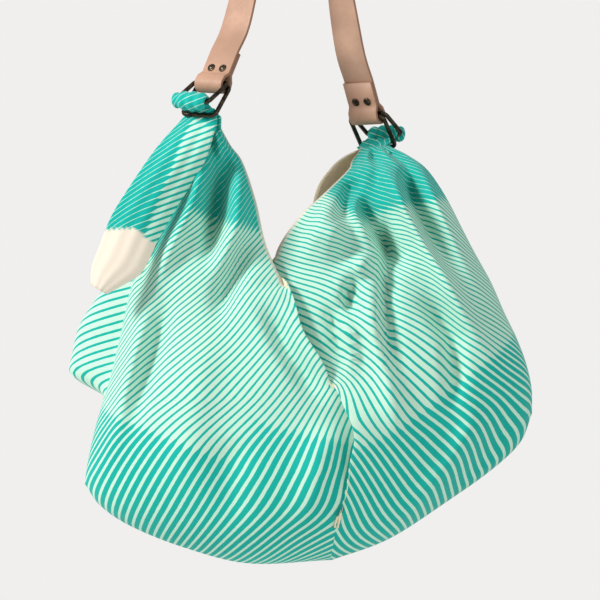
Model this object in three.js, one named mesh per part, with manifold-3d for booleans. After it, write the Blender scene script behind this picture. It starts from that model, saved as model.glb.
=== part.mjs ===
// Furoshiki shoulder bag: one square cloth gathered through two pairs of rings on a riveted leather strap.
// Millimetres, +Z up, front towards -Y. The origin is where the strap's underside lies on its peg.
// Needs the npm packages three and manifold-3d.
import * as THREE from "three";
import { mergeVertices } from "three/addons/utils/BufferGeometryUtils.js";
import Module from "manifold-3d";

const wasm = await Module();
wasm.setup();

// Clearance between neighbouring pieces
const GAP = 0.3;

// Leather strap
const STRAP_WIDTH = 30;
const STRAP_THICKNESS = 3;
const PEG_RADIUS = 20;
const TURN_IN = 33;
const RIVET_RISE = 15;

// Places of the ring bars that the strap holds: out to the side, down from the peg and towards the
// front or back, and the direction in which they lie
const LEFT_BAR = { out: 77.5, drop: 302.5 };
const RIGHT_BAR = { out: 61, drop: 327.5 };
const BAR_LEAN = 38;
const BAR_DIRECTION = { x: 0.84, y: -0.545 };

// Rivets
const RIVET_HEAD = 7.5;
const RIVET_SHANK = 3.2;
const RIVET_HEAD_HEIGHT = 1.6;
const RIVET_SPACING = 12.5;

// Wire rings
const RING_WIRE = 4;
const RING_CORNER = 4.5;
const RING_DROP = 34;
const RING_SIDE_ROOM = 1;
const RING_HANG = { out: 0.4, lean: 0.52, down: 0.75 };
const LOOP_ROOM = 1;

// Degrees by which the rings of a pair have swung out over the cloth
const OUTER_SWING = 17;
const INNER_SWING = -3;

// Cloth
const CLOTH_THICKNESS = 1.6;
const POUCH_HALF_WIDTH = 200;
const POUCH_DROP = 408;
const POUCH_TOP_DROP = 324;
const POUCH_DEPTH = 150;
const NECK_DEPTH = 15;
const ROLL_THICKNESS = 6;
const TAIL_LENGTH = 180;
const TAIL_WIDTH = 47;
const TAIL_THICKNESS = 5;
const EAR_REACH = 64;
const KNOT_SIZE = 34;
const KNOT_END_LENGTH = 52;

// Rows of values as objects, under the names in the heading
function table(heading, rows) {
  const names = heading.split(" ");
  return rows.map((row) => Object.fromEntries(names.map((name, index) => [name, row[index]])));
}

// One leg of the strap, as shares of its ring bar's drop, out and lean
const LEG_SECTIONS = table("drop out lean", [
  [ 0.2, 0.29,  0.0],
  [ 0.4, 0.41, 0.06],
  [ 0.6, 0.55, 0.17],
  [0.74, 0.66,  0.3],
  [0.84, 0.76, 0.47],
]);

// Sections of the left half from its neck (along 0) to the bottom (along 1). Widths are shares of
// POUCH_HALF_WIDTH, drops of POUCH_DROP, depths of half of POUCH_DEPTH. Side is the outer fold,
// front and back are the two mouth rims down to the mouth's foot and the pleats below it.
const LEFT_SECTIONS = table("along sideX sideZ frontX frontZ backX backZ rim", [
  [ 0.0,  -0.46,  0.04,  -0.36, 0.036, -0.35, 0.045, 0.04],
  [0.08,  -0.51, 0.085,  -0.31,  0.08, -0.33,  0.09, 0.12],
  [0.16, -0.575, 0.155, -0.255, 0.118, -0.29,  0.14, 0.22],
  [0.25, -0.665, 0.255, -0.195, 0.205, -0.25,  0.21, 0.35],
  [0.33, -0.725, 0.335,  -0.15,   0.3, -0.18,   0.3, 0.46],
  [ 0.4,  -0.77,  0.41,  -0.07, 0.395, -0.05,   0.4,  0.6],
  [ 0.5,  -0.81,   0.5, -0.045,  0.49,  0.03,  0.49, 0.78],
  [ 0.6,  -0.86,   0.6,   0.12,  0.59,  0.08,  0.59, 0.94],
  [ 0.7,  -0.91,  0.68,  0.285, 0.695,  0.11, 0.695,  1.0],
  [ 0.8,  -0.94,  0.74,   0.24, 0.785,  0.12, 0.785,  1.0],
  [ 0.9,  -0.96,  0.79,  0.175, 0.885,  0.13, 0.885,  1.0],
  [ 1.0, -0.968, 0.825,  0.135, 0.993, 0.135, 0.993,  1.0],
]);

// Sections of the right half, in the same columns
const RIGHT_SECTIONS = table("along sideX sideZ frontX frontZ backX backZ rim", [
  [ 0.0,   0.4, 0.105,   0.28, 0.105,  0.28, 0.105, 0.04],
  [0.08,  0.49, 0.125,  0.235, 0.125,  0.19, 0.125, 0.12],
  [0.16, 0.575, 0.145,  0.215,  0.14,  0.13,  0.14, 0.22],
  [0.25,  0.66,   0.2,  0.105, 0.188,  0.07,   0.2, 0.35],
  [0.33,  0.73,  0.26, -0.015, 0.243,  0.04,  0.29, 0.44],
  [ 0.4, 0.783, 0.311, -0.115, 0.335,  0.06,  0.38, 0.46],
  [ 0.5,  0.86,  0.38, -0.045,  0.49,  0.03,  0.49, 0.78],
  [ 0.6, 0.918, 0.445,   0.12,  0.59,  0.08,  0.59, 0.94],
  [ 0.7, 0.972,   0.5,  0.285, 0.695,  0.11, 0.695,  1.0],
  [ 0.8, 1.017, 0.558,   0.24, 0.785,  0.12, 0.785,  1.0],
  [ 0.9, 1.042, 0.614,  0.175, 0.885,  0.13, 0.885,  1.0],
  [ 1.0, 1.044, 0.669,  0.135, 0.993, 0.135, 0.993,  1.0],
]);

// The bottom fold from each outer corner (across 0) to the middle (across 1), in the same shares
const LEFT_BOTTOM = table("across x z", [
  [ 0.0, -0.968, 0.825],
  [ 0.1,   -0.9, 0.872],
  [0.25,  -0.76, 0.918],
  [0.45,  -0.52, 0.965],
  [ 0.7,  -0.23,   1.0],
  [ 1.0,  0.135, 0.993],
]);
const RIGHT_BOTTOM = table("across x z", [
  [ 0.0, 1.044, 0.669],
  [ 0.1, 0.995,  0.73],
  [0.25,  0.87,  0.79],
  [0.45,  0.67,  0.86],
  [ 0.7,   0.4, 0.945],
  [ 1.0, 0.135, 0.993],
]);

// How far the pleat below the mouth laps, as shares of POUCH_HALF_WIDTH: above 0 the left panel is
// outermost, below 0 the right one
const PLEAT_SECTIONS = table("along lap", [
  [ 0.4,  0.03],
  [0.48,  0.13],
  [0.55,  0.12],
  [0.61,  0.01],
  [0.68, -0.11],
  [ 0.8, -0.09],
  [0.92, -0.04],
  [ 1.0,   0.0],
]);

// Long folds that fan out of the necks. Across and along run as in the sections, width is a share of
// the panel, height a share of POUCH_DEPTH, raised above 0 and hollow below it.
const FOLDS = table("half face fromAcross fromAlong toAcross toAlong width height", [
  [ "left", "front", 0.36, 0.04, 0.24, 0.62,  0.1,  0.07],
  [ "left", "front", 0.74, 0.05, 0.62,  0.6,  0.1, -0.07],
  [ "left", "front",  0.5, 0.35, 0.42, 0.95, 0.08,  0.04],
  [ "left",  "back",  0.6, 0.05,  0.5,  0.7, 0.12, -0.07],
  ["right", "front",  0.5, 0.02,  0.2,  0.6, 0.09,  0.07],
  ["right", "front", 0.22, 0.04, 0.12,  0.4, 0.08, -0.06],
  ["right", "front",  0.8, 0.16, 0.42,  0.5, 0.08, -0.09],
  ["right", "front",  0.5, 0.12,  0.6, 0.66, 0.08,  0.05],
  ["right", "front", 0.24,  0.4, 0.42,  0.8, 0.08, 0.045],
  ["right",  "back", 0.55, 0.05,  0.4,  0.7, 0.12, -0.07],
]);

// The tail's outline from its ring to its tip, as shares of TAIL_LENGTH and of half of TAIL_WIDTH
const TAIL_SECTIONS = table("along outer inner arch", [
  [ 0.0, -0.62, 0.82,  0.2],
  [0.13, -0.76,  1.0, 0.28],
  [0.28,  -0.9,  1.0,  0.3],
  [0.45,  -1.0, 0.93, 0.26],
  [0.65, -1.05, 0.95,  0.2],
  [0.82, -0.86, 1.02, 0.16],
  [0.92, -0.72, 0.66, 0.12],
  [ 1.0, -0.42, 0.28, 0.08],
]);

// Directions in which the two tails hang: out to the side, towards the front or back, down
const TAIL_HANG = {
  left: { out: 0.5, lean: 0.0, down: 0.86 },
  right: { out: 0.26, lean: 0.06, down: 0.95 },
};

// Direction in which the knot's two ends hang, on opposite sides
const KNOT_HANG = { out: 0.62, lean: 0.2, down: 0.76 };

// How deep the pleats of rolled cloth are, as a share of ROLL_THICKNESS, at a ring and at a tail's tip
const ROLL_PLEAT = { ring: 0.12, tip: 0.05 };

// Shares of the way down at which the ear begins, is full, begins to end and ends
const EAR_PLACE = { start: 0.2, full: 0.5, fade: 0.56, end: 0.66 };

// Mesh fineness
const PANEL_COLUMNS = 12;
const PANEL_ROWS = 22;
const PLEAT_COLUMNS = 5;

// Shares that shape the pouch: where the mouth ends and where it is deepest from neck to bottom, how far
// down the necks still lean, how steep the pleats stand and how much of the back the ear takes
const MOUTH_ALONG = 0.4;
const BELLY_ALONG = 0.66;
const NECK_REACH = 0.55;
const PLEAT_STEEPNESS = 1.0;
const EAR_SPAN = 0.8;
const KNOT_DROP_SHARE = 0.06;

// The knot, as shares of KNOT_SIZE: how far its band sags, the band's half width at its waist and ends
// and its half height, and the wrap's radius and thickness, with the wrap's turn in radians
const KNOT_SAG = 0.3;
const BAND_WAIST = 0.26;
const BAND_FLARE = 0.42;
const BAND_RISE = 0.2;
const WRAP_REACH = 0.36;
const WRAP_THICKNESS = 0.19;
const WRAP_TURN = 0.5;

// The wire, strap and roll sizes that the fitted pieces share
const RING_HALF_WIDTH = STRAP_WIDTH / 2 + RING_SIDE_ROOM + RING_WIRE / 2;
const BAR_OFFSET = (RING_WIRE + 2 * GAP) / 2;
const LOOP_RADIUS = BAR_OFFSET + RING_WIRE / 2 + LOOP_ROOM + STRAP_THICKNESS / 2;
const LAYER_OFFSET = (STRAP_THICKNESS + GAP) / 2;
const ROLL_RADIUS = RING_WIRE / 2 + GAP + ROLL_THICKNESS / 2;
const ROLL_HALF_WIDTH = RING_HALF_WIDTH - RING_WIRE / 2 - GAP;

const vec = (x, y, z) => new THREE.Vector3(x, y, z);
const clamp = (value, low, high) => Math.min(high, Math.max(low, value));
const mix = (a, b, t) => a + (b - a) * t;

function smooth(from, to, value) {
  const t = clamp((value - from) / (to - from), 0, 1);
  return t * t * (3 - 2 * t);
}

// A table's column at a place between its rows, by a curve through the rows
function readTable(table, key, column, place) {
  const last = table.length - 1;
  let row = 0;
  while (row < last - 1 && place > table[row + 1][key]) row += 1;
  const [a, b, c, d] = [row - 1, row, row + 1, row + 2].map((index) => table[clamp(index, 0, last)]);
  const span = c[key] - b[key];
  const t = clamp((place - b[key]) / span, 0, 1);
  const slope = (from, to) => (to[column] - from[column]) / (to[key] - from[key]);
  const slopeB = row === 0 ? slope(b, c) : slope(a, c);
  const slopeC = row + 1 === last ? slope(b, c) : slope(b, d);
  const t2 = t * t;
  const t3 = t2 * t;
  return (2 * t3 - 3 * t2 + 1) * b[column] + (t3 - 2 * t2 + t) * span * slopeB
    + (3 * t2 - 2 * t3) * c[column] + (t3 - t2) * span * slopeC;
}

// Vector perpendicular to the given unit direction, as near as can be to a wished one
function across(direction, wish) {
  return wish.clone().addScaledVector(direction, -wish.dot(direction)).normalize();
}

// The unit vector at an angle from one unit vector towards another that is square to it
function between(from, to, angle) {
  return from.clone().multiplyScalar(Math.cos(angle)).addScaledVector(to, Math.sin(angle));
}

// A closed solid through cross-sections with the same number of points, capped or closed on itself
function loft(sections, closed = false) {
  const count = sections[0].length;
  const positions = sections.flat().flatMap((point) => [point.x, point.y, point.z]);
  const indices = [];
  const spans = closed ? sections.length : sections.length - 1;
  for (let i = 0; i < spans; i += 1) {
    const here = i * count;
    const next = ((i + 1) % sections.length) * count;
    for (let j = 0; j < count; j += 1) {
      const k = (j + 1) % count;
      indices.push(here + j, here + k, next + k, here + j, next + k, next + j);
    }
  }
  if (!closed) {
    const end = (sections.length - 1) * count;
    for (let j = 1; j < count - 1; j += 1) {
      indices.push(0, j + 1, j, end, end + j, end + j + 1);
    }
  }
  const geometry = new THREE.BufferGeometry();
  geometry.setAttribute("position", new THREE.Float32BufferAttribute(positions, 3));
  geometry.setIndex(indices);
  return geometry;
}

// A three.js geometry as a solid that can be joined and cut
function toSolid(geometry) {
  const bare = geometry.clone();
  bare.deleteAttribute("normal");
  bare.deleteAttribute("uv");
  const merged = mergeVertices(bare, 1e-4);
  const indices = [];
  const index = merged.index.array;
  for (let i = 0; i < index.length; i += 3) {
    const [a, b, c] = [index[i], index[i + 1], index[i + 2]];
    if (a !== b && b !== c && a !== c) indices.push(a, b, c);
  }
  const mesh = new wasm.Mesh({
    numProp: 3,
    vertProperties: new Float32Array(merged.getAttribute("position").array),
    triVerts: new Uint32Array(indices),
  });
  return new wasm.Manifold(mesh);
}

// A solid without the small voids that folds close off where they lie on each other
function fillVoids(solid) {
  return solid.decompose().filter((piece) => piece.volume() > 0).reduce((sum, piece) => sum.add(piece));
}

function toGeometry(solid) {
  const mesh = solid.getMesh();
  const geometry = new THREE.BufferGeometry();
  geometry.setAttribute("position", new THREE.Float32BufferAttribute(mesh.vertProperties, mesh.numProp));
  geometry.setIndex(Array.from(mesh.triVerts));
  return geometry;
}

// Rings and strap ends: one frame for each side, with width, down and facing directions

function sideFrame(sign, bar) {
  const centre = vec(sign * bar.out, sign * BAR_LEAN, -bar.drop);
  const above = legPoints(sign, bar).pop();
  const down = centre.clone().sub(above).normalize();
  const width = across(down, vec(BAR_DIRECTION.x, BAR_DIRECTION.y, 0));
  const grain = width.clone().cross(down).multiplyScalar(sign).normalize();
  const ringDown = across(width, vec(sign * RING_HANG.out, sign * RING_HANG.lean, -RING_HANG.down));
  const ringFace = ringDown.clone().cross(width).multiplyScalar(-sign).normalize();
  const clothward = across(width, vec(0, -sign, 0));
  return { sign, bar, centre, down, width, grain, ringDown, ringFace, clothward };
}

// Directions of the outer (side 1) or inner (side -1) ring, and the centres of its two bars
function ringPlace(frame, side) {
  const swing = frame.sign * THREE.MathUtils.degToRad(side > 0 ? OUTER_SWING : INNER_SWING);
  const down = frame.ringDown.clone().applyAxisAngle(frame.width, swing);
  const face = frame.ringFace.clone().applyAxisAngle(frame.width, swing);
  const top = frame.centre.clone().addScaledVector(frame.ringFace, side * BAR_OFFSET);
  return { down, face, top, bar: top.clone().addScaledVector(down, RING_DROP) };
}

// A closed round-cornered wire rectangle with one bar in the strap's loop
function ringGeometry(frame, side, wire = RING_WIRE) {
  const { down, face, top } = ringPlace(frame, side);
  const arcSteps = 4;
  const corners = [[1, 0, 0], [1, 1, 90], [-1, 1, 180], [-1, 0, 270]];
  const sections = [];
  for (const [side, low, turn] of corners) {
    for (let step = 0; step <= arcSteps; step += 1) {
      const angle = THREE.MathUtils.degToRad(turn + (step / arcSteps) * 90 - 90);
      const centreAcross = side * (RING_HALF_WIDTH - RING_CORNER);
      const centreDown = low ? RING_DROP - RING_CORNER : RING_CORNER;
      const outward = between(frame.width, down, angle);
      const point = top.clone().addScaledVector(frame.width, centreAcross)
        .addScaledVector(down, centreDown).addScaledVector(outward, RING_CORNER);
      const section = [];
      for (let k = 0; k < 8; k += 1) {
        const around = between(outward, face, (k / 8) * 2 * Math.PI);
        section.push(point.clone().addScaledVector(around, wire / 2));
      }
      sections.push(section);
    }
  }
  return orientOut(loft(sections, true));
}

// Turns a closed mesh's faces outward
function orientOut(geometry) {
  const position = geometry.getAttribute("position");
  const index = geometry.index.array;
  const [a, b, c] = [vec(0, 0, 0), vec(0, 0, 0), vec(0, 0, 0)];
  let volume = 0;
  for (let i = 0; i < index.length; i += 3) {
    a.fromBufferAttribute(position, index[i]);
    b.fromBufferAttribute(position, index[i + 1]);
    c.fromBufferAttribute(position, index[i + 2]);
    volume += a.dot(b.clone().cross(c));
  }
  if (volume >= 0) return geometry;
  const turned = [];
  for (let i = 0; i < index.length; i += 3) turned.push(index[i], index[i + 2], index[i + 1]);
  geometry.setIndex(turned);
  return geometry;
}

// Centre line of one strap end from its cut edge, round the ring bars and up to the free leg
function loopPath(frame) {
  const { centre, down, grain } = frame;
  const local = (below, out) => centre.clone().addScaledVector(down, below).addScaledVector(grain, out);
  const points = [
    local(-TURN_IN, -LAYER_OFFSET),
    local(-RIVET_RISE, -LAYER_OFFSET),
    local(-RIVET_RISE * 0.7, -LAYER_OFFSET),
    local(-RIVET_RISE * 0.32, -LOOP_RADIUS * 0.86),
  ];
  const arcSteps = 8;
  for (let step = 0; step <= arcSteps; step += 1) {
    const angle = (step / arcSteps) * Math.PI;
    points.push(local(Math.sin(angle) * LOOP_RADIUS, -Math.cos(angle) * LOOP_RADIUS));
  }
  points.push(
    local(-RIVET_RISE * 0.32, LOOP_RADIUS * 0.86),
    local(-RIVET_RISE * 0.7, LAYER_OFFSET),
    local(-RIVET_RISE, LAYER_OFFSET),
    local(-TURN_IN, LAYER_OFFSET),
  );
  return points;
}

// Centre line of one free leg, from below the peg down to the last section above the ring
function legPoints(sign, bar) {
  return LEG_SECTIONS.map(({ out, lean, drop }) => (
    vec(sign * bar.out * out, sign * BAR_LEAN * lean, -bar.drop * drop)
  ));
}

function strapGeometry(left, right) {
  const bendRadius = PEG_RADIUS + STRAP_THICKNESS / 2;
  const arch = [];
  for (let step = 0; step <= 8; step += 1) {
    const angle = Math.PI - (step / 8) * Math.PI;
    arch.push(vec(Math.cos(angle) * bendRadius, 0, Math.sin(angle) * bendRadius - PEG_RADIUS));
  }
  const leftLoop = loopPath(left);
  const rightLoop = loopPath(right).reverse();
  const leftLeg = [leftLoop[leftLoop.length - 1], ...legPoints(-1, left.bar).reverse()];
  const rightLeg = [...legPoints(1, right.bar), rightLoop[0]];
  const curve = new THREE.CatmullRomCurve3([...leftLeg, ...arch, ...rightLeg], false, "centripetal");
  const middle = curve.getPoints(54).slice(1, -1);
  const points = [...leftLoop, ...middle, ...rightLoop];
  const top = vec(0, -1, 0);
  const sections = points.map((point, index) => {
    const before = points[Math.max(0, index - 1)];
    const after = points[Math.min(points.length - 1, index + 1)];
    const tangent = after.clone().sub(before).normalize();
    const frame = index < points.length / 2 ? left : right;
    const turned = smooth(0.86, 0.2, -point.z / frame.bar.drop);
    const width = across(tangent, frame.width.clone().lerp(top, turned));
    const face = width.clone().cross(tangent);
    width.multiplyScalar(STRAP_WIDTH / 2);
    face.multiplyScalar(STRAP_THICKNESS / 2);
    const corners = [[-1, -1], [1, -1], [1, 1], [-1, 1]];
    return corners.map(([side, layer]) => (
      point.clone().addScaledVector(width, side).addScaledVector(face, layer)
    ));
  });
  let solid = toSolid(orientOut(loft(sections)));
  for (const frame of [left, right]) {
    for (const side of [-1, 1]) {
      const radius = RIVET_SHANK / 2 + GAP;
      const hole = new THREE.CylinderGeometry(radius, radius, 4 * STRAP_THICKNESS, 10);
      solid = solid.subtract(toSolid(placeRivet(hole, frame, side)));
    }
  }
  return toGeometry(solid);
}

// Moves a shape made along Y to one rivet's place, with Y along the strap's grain side
function placeRivet(geometry, frame, side) {
  const { width, grain, down } = frame;
  const centre = frame.centre.clone().addScaledVector(down, -RIVET_RISE)
    .addScaledVector(width, (side * RIVET_SPACING) / 2);
  const basis = new THREE.Matrix4().makeBasis(width, grain, width.clone().cross(grain));
  return geometry.applyMatrix4(basis.setPosition(centre));
}

// One turned rivet: a domed head on the grain side, a shank through both layers and a flat cap behind
function rivetGeometry(frame, side) {
  const face = STRAP_THICKNESS + GAP / 2 + GAP;
  const shank = RIVET_SHANK / 2;
  const head = RIVET_HEAD / 2;
  const profile = [
    [0, -face - RIVET_HEAD_HEIGHT],
    [head * 0.6, -face - RIVET_HEAD_HEIGHT * 0.85],
    [head, -face - RIVET_HEAD_HEIGHT * 0.2],
    [head, -face],
    [shank, -face],
    [shank, face],
    [head, face],
    [head, face + RIVET_HEAD_HEIGHT * 0.2],
    [head * 0.6, face + RIVET_HEAD_HEIGHT * 0.85],
    [0, face + RIVET_HEAD_HEIGHT],
  ].map(([radius, height]) => new THREE.Vector2(radius, height));
  return placeRivet(toGeometry(toSolid(new THREE.LatheGeometry(profile, 10))), frame, side);
}

// The pouch: each half is a fan of columns from its neck, and pleats join the halves below the mouth

// Half depth of the pouch at a share of the way from neck to bottom
function bellyDepth(along) {
  const full = POUCH_DEPTH / 2;
  if (along <= BELLY_ALONG) return mix(NECK_DEPTH / 2, full, smooth(-0.1, BELLY_ALONG, along));
  const t = (along - BELLY_ALONG) / (1 - BELLY_ALONG);
  return full * Math.sqrt(Math.max(0, 1 - t * t));
}

// A fold's height at a place on a panel, in millimetres out of the cloth
function foldHeight(half, face, acrossShare, along) {
  let height = 0;
  for (const fold of FOLDS) {
    if (fold.half !== half || fold.face !== face) continue;
    const t = (along - fold.fromAlong) / (fold.toAlong - fold.fromAlong);
    if (t < 0 || t > 1) continue;
    const distance = (acrossShare - mix(fold.fromAcross, fold.toAcross, t)) / fold.width;
    const fade = smooth(0, 0.25, t) * smooth(1, 0.6, t);
    height += fold.height * POUCH_DEPTH * Math.exp(-distance * distance) * fade;
  }
  return height;
}

// Gathers that run out of the neck, in millimetres
function gatherHeight(acrossShare, along) {
  const fade = smooth(0, 0.06, along) * smooth(0.34, 0.05, along);
  return NECK_DEPTH * 0.2 * Math.cos(acrossShare * 5 * Math.PI) * fade;
}

// How far a panel's inner edge laps over its neighbour (above 0) or under it, as a share of the
// pouch's half width
function lapShare(half, face, along) {
  const lap = along < MOUTH_ALONG ? 0 : readTable(PLEAT_SECTIONS, "along", "lap", along);
  return ((half === "left") === (face === "front") ? lap : -lap) / 2;
}

// How far the back of the left half hangs out beyond its side fold
function earReach(half, face, column, along) {
  if (half !== "left" || face !== "back") return 0;
  const round = Math.sin(Math.PI * clamp(column / EAR_SPAN, 0, 1));
  const { start, full, fade, end } = EAR_PLACE;
  return EAR_REACH * round * smooth(start, full, along) * smooth(end, fade, along);
}

// A point of one panel: column runs from the outer fold (0) to the rim or pleat (1)
function panelPoint(half, face, column, along) {
  const sections = half === "left" ? LEFT_SECTIONS : RIGHT_SECTIONS;
  const bottom = half === "left" ? LEFT_BOTTOM : RIGHT_BOTTOM;
  const outward = face === "front" ? -1 : 1;
  const share = 1 - Math.cos((column * Math.PI) / 2);
  const read = (name) => readTable(sections, "along", name, along);
  const lap = lapShare(half, face, along);
  const end = sections[sections.length - 1];
  const draw = along * along;
  const belowX = readTable(bottom, "across", "x", share) - mix(end.sideX, end.frontX, share);
  const belowZ = readTable(bottom, "across", "z", share) - mix(end.sideZ, end.frontZ, share);
  const lapX = (half === "left" ? 1 : -1) * Math.abs(lap);
  const x = mix(read("sideX"), read(`${face}X`) + lapX, share) + belowX * draw;
  const z = mix(read("sideZ"), read(`${face}Z`), share) + belowZ * draw;

  const depth = bellyDepth(along);
  const rimDepth = Math.min(depth, (read("rim") * POUCH_DEPTH) / 2);
  const round = depth * Math.sin((column * Math.PI) / 2) - (depth - rimDepth) * share ** 3;
  const flatten = Math.sqrt(1 - along * along);
  const folds = (foldHeight(half, face, share, along) * depth) / (POUCH_DEPTH / 2);
  const relief = (folds + gatherHeight(share, along)) * smooth(0, 0.1, share);
  const lapDepth = lap * POUCH_HALF_WIDTH * PLEAT_STEEPNESS * smooth(0.55, 1, share);
  const towardsRing = (half === "left" ? -1 : 1) * BAR_LEAN * Math.max(0, 1 - along / NECK_REACH) ** 2;
  const y = towardsRing + outward * (round + (relief + lapDepth) * flatten);
  const outX = x * POUCH_HALF_WIDTH - earReach(half, face, column, along);
  return vec(outX, y, -POUCH_TOP_DROP - z * POUCH_DROP);
}

// A point of the pleat between the left and right panels of one face
function pleatPoint(face, share, along) {
  const from = panelPoint(face === "front" ? "left" : "right", face, 1, along);
  const to = panelPoint(face === "front" ? "right" : "left", face, 1, along);
  const eased = smooth(0, 1, share);
  const overshoot = (from.x - to.x) * 0.22 * Math.sin(2 * Math.PI * share);
  return vec(mix(from.x, to.x, share) + overshoot, mix(from.y, to.y, eased), mix(from.z, to.z, share));
}

// The pouch's outer skin as rows of shared points, thickened inwards into one thin wall
function pouchGeometry() {
  const points = [];
  const faces = [];
  const add = (point) => points.push(point) - 1;
  const rowPlaces = [];
  const mouthRow = Math.round(PANEL_ROWS * MOUTH_ALONG);
  for (let i = 0; i <= PANEL_ROWS; i += 1) {
    const t = (i - mouthRow) / (PANEL_ROWS - mouthRow);
    const eased = (Math.sin((t * Math.PI) / 2) + t) / 2;
    rowPlaces.push(i <= mouthRow ? (MOUTH_ALONG * i) / mouthRow : mix(MOUTH_ALONG, 1, eased));
  }
  const half = (name) => rowPlaces.map((along, i) => {
    const row = [];
    for (let j = 0; j <= 2 * PANEL_COLUMNS; j += 1) {
      const share = (j - PANEL_COLUMNS) / PANEL_COLUMNS;
      const front = name === "left" ? share > 0 : share < 0;
      const mirror = 2 * PANEL_COLUMNS - j;
      if (i === PANEL_ROWS && j > PANEL_COLUMNS) row.push(row[mirror]);
      else row.push(add(panelPoint(name, front ? "front" : "back", Math.abs(share), along)));
    }
    return row;
  });
  const left = half("left");
  const right = half("right");
  const lastColumn = 2 * PANEL_COLUMNS;
  const strip = (face, startOf, endOf, shared) => rowPlaces.map((along, i) => {
    if (i < mouthRow) return null;
    const row = [startOf(i)];
    for (let j = 1; j < PLEAT_COLUMNS; j += 1) {
      if (i === PANEL_ROWS && shared) row.push(shared[i][PLEAT_COLUMNS - j]);
      else row.push(add(pleatPoint(face, j / PLEAT_COLUMNS, along)));
    }
    row.push(endOf(i));
    return row;
  });
  const front = strip("front", (i) => left[i][lastColumn], (i) => right[i][0], null);
  const back = strip("back", (i) => right[i][lastColumn], (i) => left[i][0], front);
  const tile = (rows, columns, fromRow) => {
    for (let i = fromRow; i < PANEL_ROWS; i += 1) {
      for (let j = 0; j < columns; j += 1) {
        const [a, b, c, d] = [rows[i][j], rows[i + 1][j], rows[i + 1][j + 1], rows[i][j + 1]];
        faces.push([a, b, c], [a, c, d]);
      }
    }
  };
  tile(left, lastColumn, 0);
  tile(right, lastColumn, 0);
  tile(front, PLEAT_COLUMNS, mouthRow);
  tile(back, PLEAT_COLUMNS, mouthRow);
  return thicken(points, faces, CLOTH_THICKNESS);
}

// Gives an open skin its wall, inwards, and closes the wall along the skin's edges
function thicken(points, faces, thickness) {
  const normals = points.map(() => vec(0, 0, 0));
  for (const [a, b, c] of faces) {
    const normal = points[b].clone().sub(points[a]).cross(points[c].clone().sub(points[a]));
    for (const corner of [a, b, c]) normals[corner].add(normal);
  }
  for (const normal of normals) normal.normalize();
  const inner = points.map((point, i) => point.clone().addScaledVector(normals[i], -thickness));
  const count = points.length;
  const indices = [];
  const edges = new Map();
  for (const [a, b, c] of faces) {
    indices.push(a, b, c, a + count, c + count, b + count);
    for (const [from, to] of [[a, b], [b, c], [c, a]]) edges.set(`${from},${to}`, [from, to]);
  }
  for (const [from, to] of edges.values()) {
    if (edges.has(`${to},${from}`)) continue;
    indices.push(to, from, from + count, to, from + count, to + count);
  }
  const geometry = new THREE.BufferGeometry();
  const all = [...points, ...inner].flatMap((point) => [point.x, point.y, point.z]);
  geometry.setAttribute("position", new THREE.Float32BufferAttribute(all, 3));
  geometry.setIndex(indices);
  return geometry;
}

// The drawn-up corners: each rises out of its neck behind the inner ring's bar, rolls round the outer
// ring's bar and hangs as a tail between the inner bar and the neck

// A flat pleated cross-section: width and facing directions, edges, thickness, arch and pleat depth
function bundleSection(centre, width, face, shape) {
  const steps = 7;
  const upper = [];
  const lower = [];
  for (let k = 0; k <= steps; k += 1) {
    const t = k / steps;
    const across = mix(shape.outer, shape.inner, t);
    const arch = shape.arch * Math.sin(Math.PI * t);
    const pleat = shape.pleat * Math.cos(t * steps * Math.PI);
    const half = (shape.thickness / 2) * Math.pow(Math.sin(Math.PI * mix(0.1, 0.9, t)), 0.5);
    const base = centre.clone().addScaledVector(width, across);
    upper.push(base.clone().addScaledVector(face, arch + half + pleat));
    lower.push(base.clone().addScaledVector(face, arch - half + pleat));
  }
  return [...upper, ...lower.reverse()];
}

// Middle of a neck, a share of the way down its half
function neckCentre(half, along) {
  return panelPoint(half, "front", 0, along).add(panelPoint(half, "front", 1, along)).multiplyScalar(0.5);
}

// Flat pleated cloth as wide as a ring's opening
const rollShape = (share = 1) => ({
  outer: -ROLL_HALF_WIDTH * share,
  inner: ROLL_HALF_WIDTH * share,
  thickness: ROLL_THICKNESS,
  arch: 0,
  pleat: ROLL_THICKNESS * ROLL_PLEAT.ring,
});

// From inside the neck up and round the outer ring's bar
function rollGeometry(frame, half) {
  const { down, face, bar } = ringPlace(frame, 1);
  const { clothward } = frame;
  const middleward = frame.width.clone().multiplyScalar(-frame.sign);
  const behindTail = ROLL_RADIUS + 1.35 * ROLL_THICKNESS;
  const behindBar = ringPlace(frame, -1).bar.clone().addScaledVector(clothward, behindTail);
  const sections = [
    bundleSection(neckCentre(half, 0.12), middleward, clothward, rollShape(0.3)),
    bundleSection(neckCentre(half, 0.04), middleward, clothward, rollShape(0.9)),
    bundleSection(behindBar, middleward, clothward, rollShape()),
  ];
  const arcSteps = 8;
  for (let step = 0; step <= arcSteps; step += 1) {
    const outward = between(face, down, Math.PI * mix(1.2, 2.8, step / arcSteps)).normalize();
    const centre = bar.clone().addScaledVector(outward, ROLL_RADIUS);
    sections.push(bundleSection(centre, middleward, outward, rollShape()));
  }
  return orientOut(loft(sections));
}

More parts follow.
